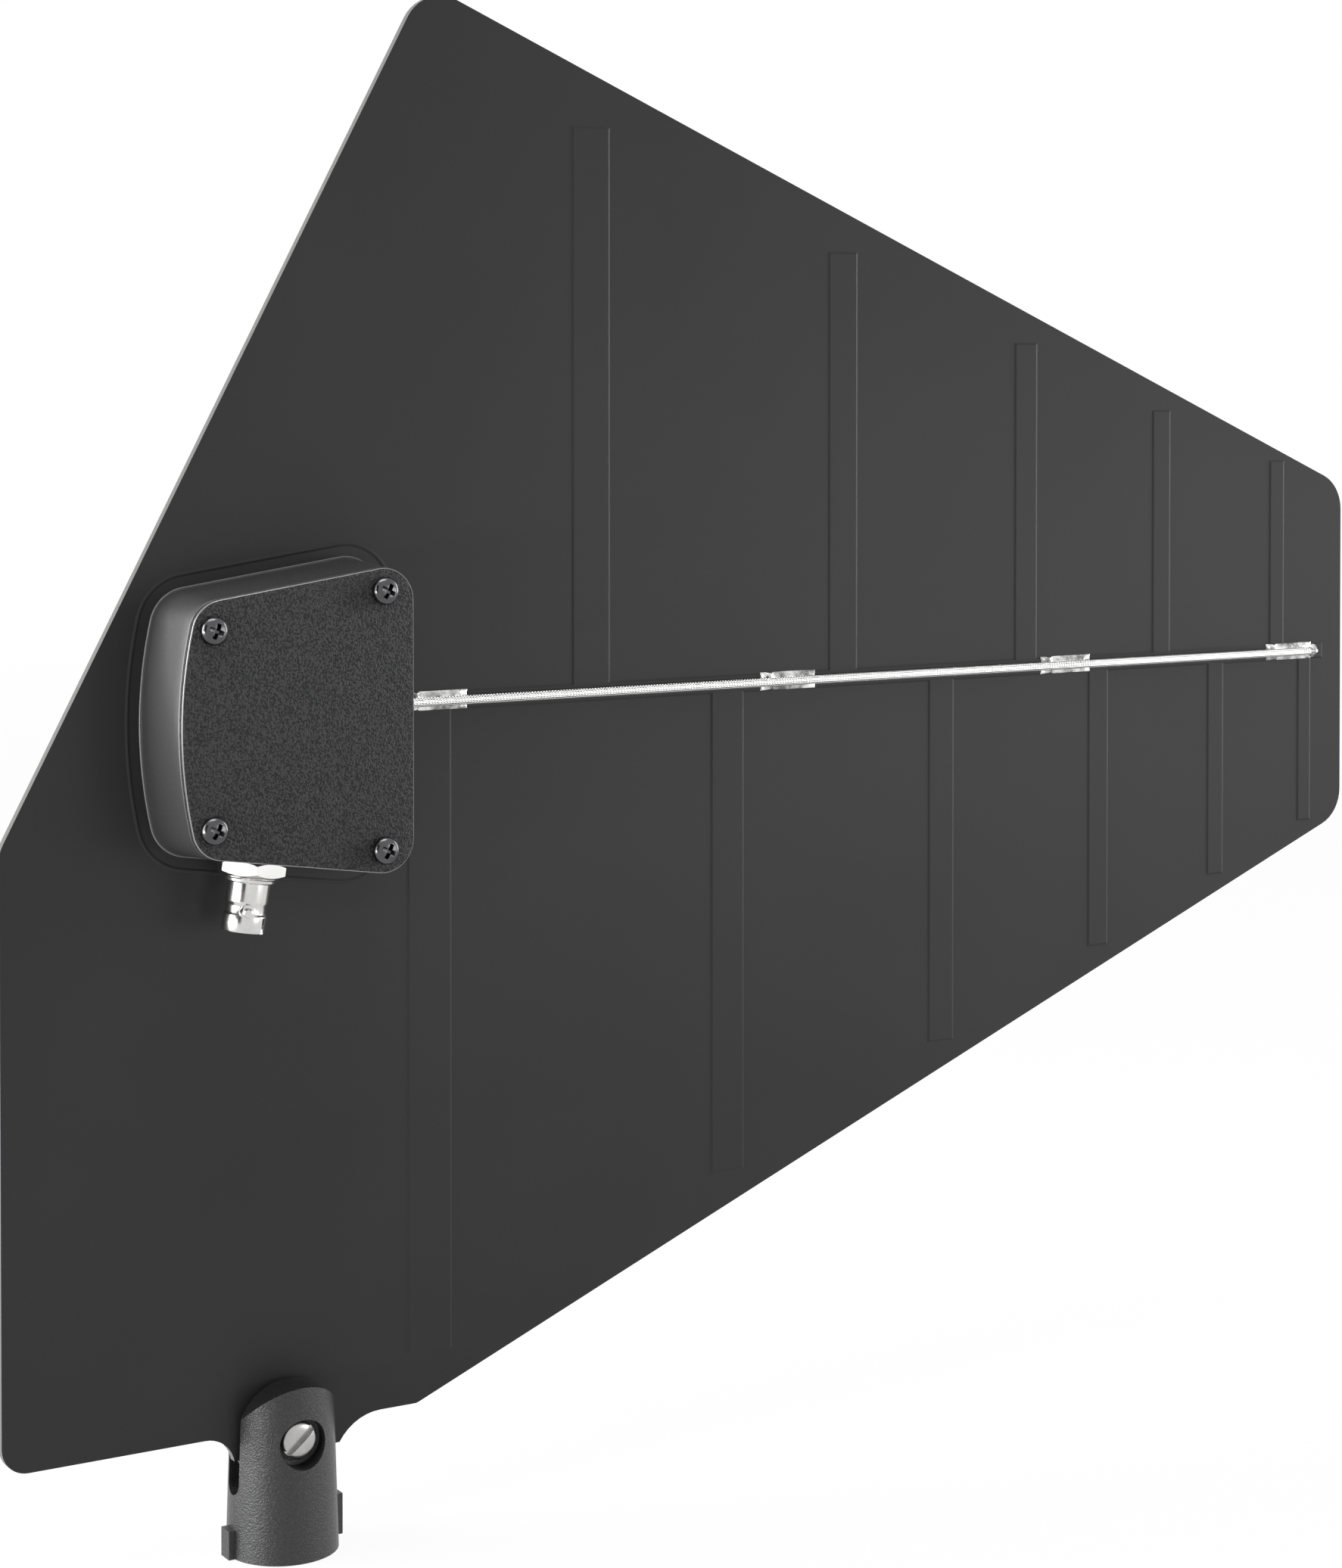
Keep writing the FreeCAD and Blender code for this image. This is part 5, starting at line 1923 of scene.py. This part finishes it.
@dataclass
class Studio:
    """Pale floor and world, softboxes, and the camera."""

    eye: Point = (-305.67, -671.66, 262.92)
    yaw: float = 31.252
    pitch: float = 1.1314
    lens: float = 75.5074
    sensor: float = 36.0
    shift: float = -0.22
    near: float = 10.0
    far: float = 60000.0
    floor_size: float = 12000.0
    floor_drop: float = -0.2
    floor_grey: float = 0.9
    floor_glow: float = 0.93
    fade_start: float = 500.0
    fade_end: float = 2500.0
    world_level: float = 0.36
    flag_turn: float = 60.0
    flag_distance: float = 1500.0
    flag_width: float = 1100.0
    flag_height: float = 1400.0
    flag_grey: float = 0.01
    aim: Point = (60.0, 0.0, 170.0)
    left_aim: Point = (-30.0, -15.0, 180.0)
    low_aim: Point = (0.0, 0.0, 20.0)

    def build(self) -> None:
        """Make the whole set."""
        self._camera()
        self._world()
        self._floor()
        self._flag()
        for box in self.softboxes():
            box.build()
        bpy.context.scene.view_settings.view_transform = "Standard"

    def softboxes(self) -> Iterable[Softbox]:
        """Lamps left, right and above.

        Returns:
            The lamps, each with its place, its aim, its width, its height and its level.
        """
        return (
            Softbox("left_box", (-1000.0, 480.0, 430.0), self.aim, 700.0, 1000.0, 10.0),
            Softbox("left_strip", (-1100.0, -95.0, 300.0), self.left_aim, 240.0, 800.0, 5.5),
            Softbox("left_low", (-1020.0, -110.0, 70.0), self.low_aim, 720.0, 130.0, 28.0),
            Softbox("right_box", (650.0, -700.0, 150.0), self.aim, 520.0, 300.0, 3.6),
            Softbox("right_strip", (1300.0, -260.0, 340.0), self.aim, 220.0, 900.0, 10.5),
            Softbox("top_box", (-80.0, -170.0, 1350.0), self.aim, 1000.0, 450.0, 6.0),
        )

    def _camera(self) -> None:
        """Camera at the photograph's place and angle, for a frame 1773 wide and 2072 high."""
        camera = bpy.data.cameras.new("camera")
        camera.sensor_fit = "AUTO"
        camera.sensor_width = self.sensor
        camera.lens = self.lens
        camera.shift_y = self.shift
        camera.clip_start = self.near * MM
        camera.clip_end = self.far * MM
        holder = bpy.data.objects.new("camera", camera)
        bpy.context.scene.collection.objects.link(holder)
        holder.location = [c * MM for c in self.eye]
        yaw = math.radians(self.yaw)
        holder.rotation_euler = (math.pi / 2 - math.radians(self.pitch), 0.0, -yaw)
        bpy.context.scene.camera = holder

    def _world(self) -> None:
        """White to the camera and in reflections, and plain soft light on the object."""
        world = bpy.data.worlds.new("studio")
        world.use_nodes = True
        bpy.context.scene.world = world
        nodes = NodeWriter(world.node_tree)
        nodes.tree.nodes.clear()
        ray = nodes.add("ShaderNodeLightPath").outputs
        seen = nodes.math("MAXIMUM", ray["Is Camera Ray"], ray["Is Transmission Ray"])
        seen = nodes.math("MAXIMUM", seen, ray["Is Glossy Ray"])
        level = nodes.add("ShaderNodeMapRange", Value=seen, To_Min=self.world_level, To_Max=1.0)
        light = nodes.add("ShaderNodeBackground", Color=WHITE, Strength=level.outputs["Result"])
        nodes.add("ShaderNodeOutputWorld", Surface=light.outputs[0])

    def _floor(self) -> None:
        """Pale floor that keeps a faint shadow near the part and is white further off."""
        half = self.floor_size / 2
        square = ((-half, -half), (half, -half), (half, half), (-half, half))
        floor = sheet("floor", [(x, y, self.floor_drop) for x, y in square])
        material = bpy.data.materials.new("pale_floor")
        material.use_nodes = True
        nodes = NodeWriter(material.node_tree)
        nodes.tree.nodes.clear()
        span = nodes.add("ShaderNodeVectorMath", {"operation": "LENGTH"})
        nodes.feed(span.inputs[0], nodes.add("ShaderNodeTexCoord").outputs["Object"])
        fade = nodes.add(
            "ShaderNodeMapRange",
            Value=span.outputs["Value"],
            From_Min=self.fade_start * MM,
            From_Max=self.fade_end * MM,
            To_Min=self.floor_glow,
            To_Max=1.0,
        )
        ray = nodes.add("ShaderNodeLightPath").outputs
        seen = nodes.math("MAXIMUM", ray["Is Camera Ray"], ray["Is Glossy Ray"])
        mix = nodes.add("ShaderNodeMixShader", Fac=nodes.product(fade.outputs["Result"], seen))
        grey = (self.floor_grey, self.floor_grey, self.floor_grey, 1.0)
        nodes.feed(mix.inputs[1], nodes.add("ShaderNodeBsdfDiffuse", Color=grey).outputs[0])
        nodes.feed(mix.inputs[2], nodes.add("ShaderNodeEmission").outputs[0])
        nodes.add("ShaderNodeOutputMaterial", Surface=mix.outputs[0])
        floor.data.materials.append(material)

    def _flag(self) -> None:
        """Black flag beside the camera, which metal shows as its dark bands."""
        turn = math.radians(self.flag_turn)
        centre = Vector((-math.sin(turn), -math.cos(turn), 0.0)) * self.flag_distance
        across = Vector((math.cos(turn), -math.sin(turn), 0.0)) * self.flag_width / 2
        up = Vector((0.0, 0.0, self.flag_height))
        low = centre - across
        flag = sheet("black_flag", (low, low + 2 * across, low + 2 * across + up, low + up))
        cloth = ShaderGraph("flag_cloth")
        black = (self.flag_grey, self.flag_grey, self.flag_grey, 1.0)
        cloth.set(Base_Color=black, Roughness=0.9, Specular_IOR_Level=0.1)
        flag.data.materials.append(cloth.material)
        flag.visible_camera = False
        flag.visible_shadow = False


def main() -> None:
    """Build the looks in order."""
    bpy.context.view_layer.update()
    Studio().build()
    for assembly in (
        PrintedBoard(),
        BoomCoax(),
        ConnectorHousing(),
        BayonetJack(),
        StandAdapter(),
    ):
        assembly.build()
        log.info("%s is built", type(assembly).__name__)


if __name__ == "__main__":
    main()
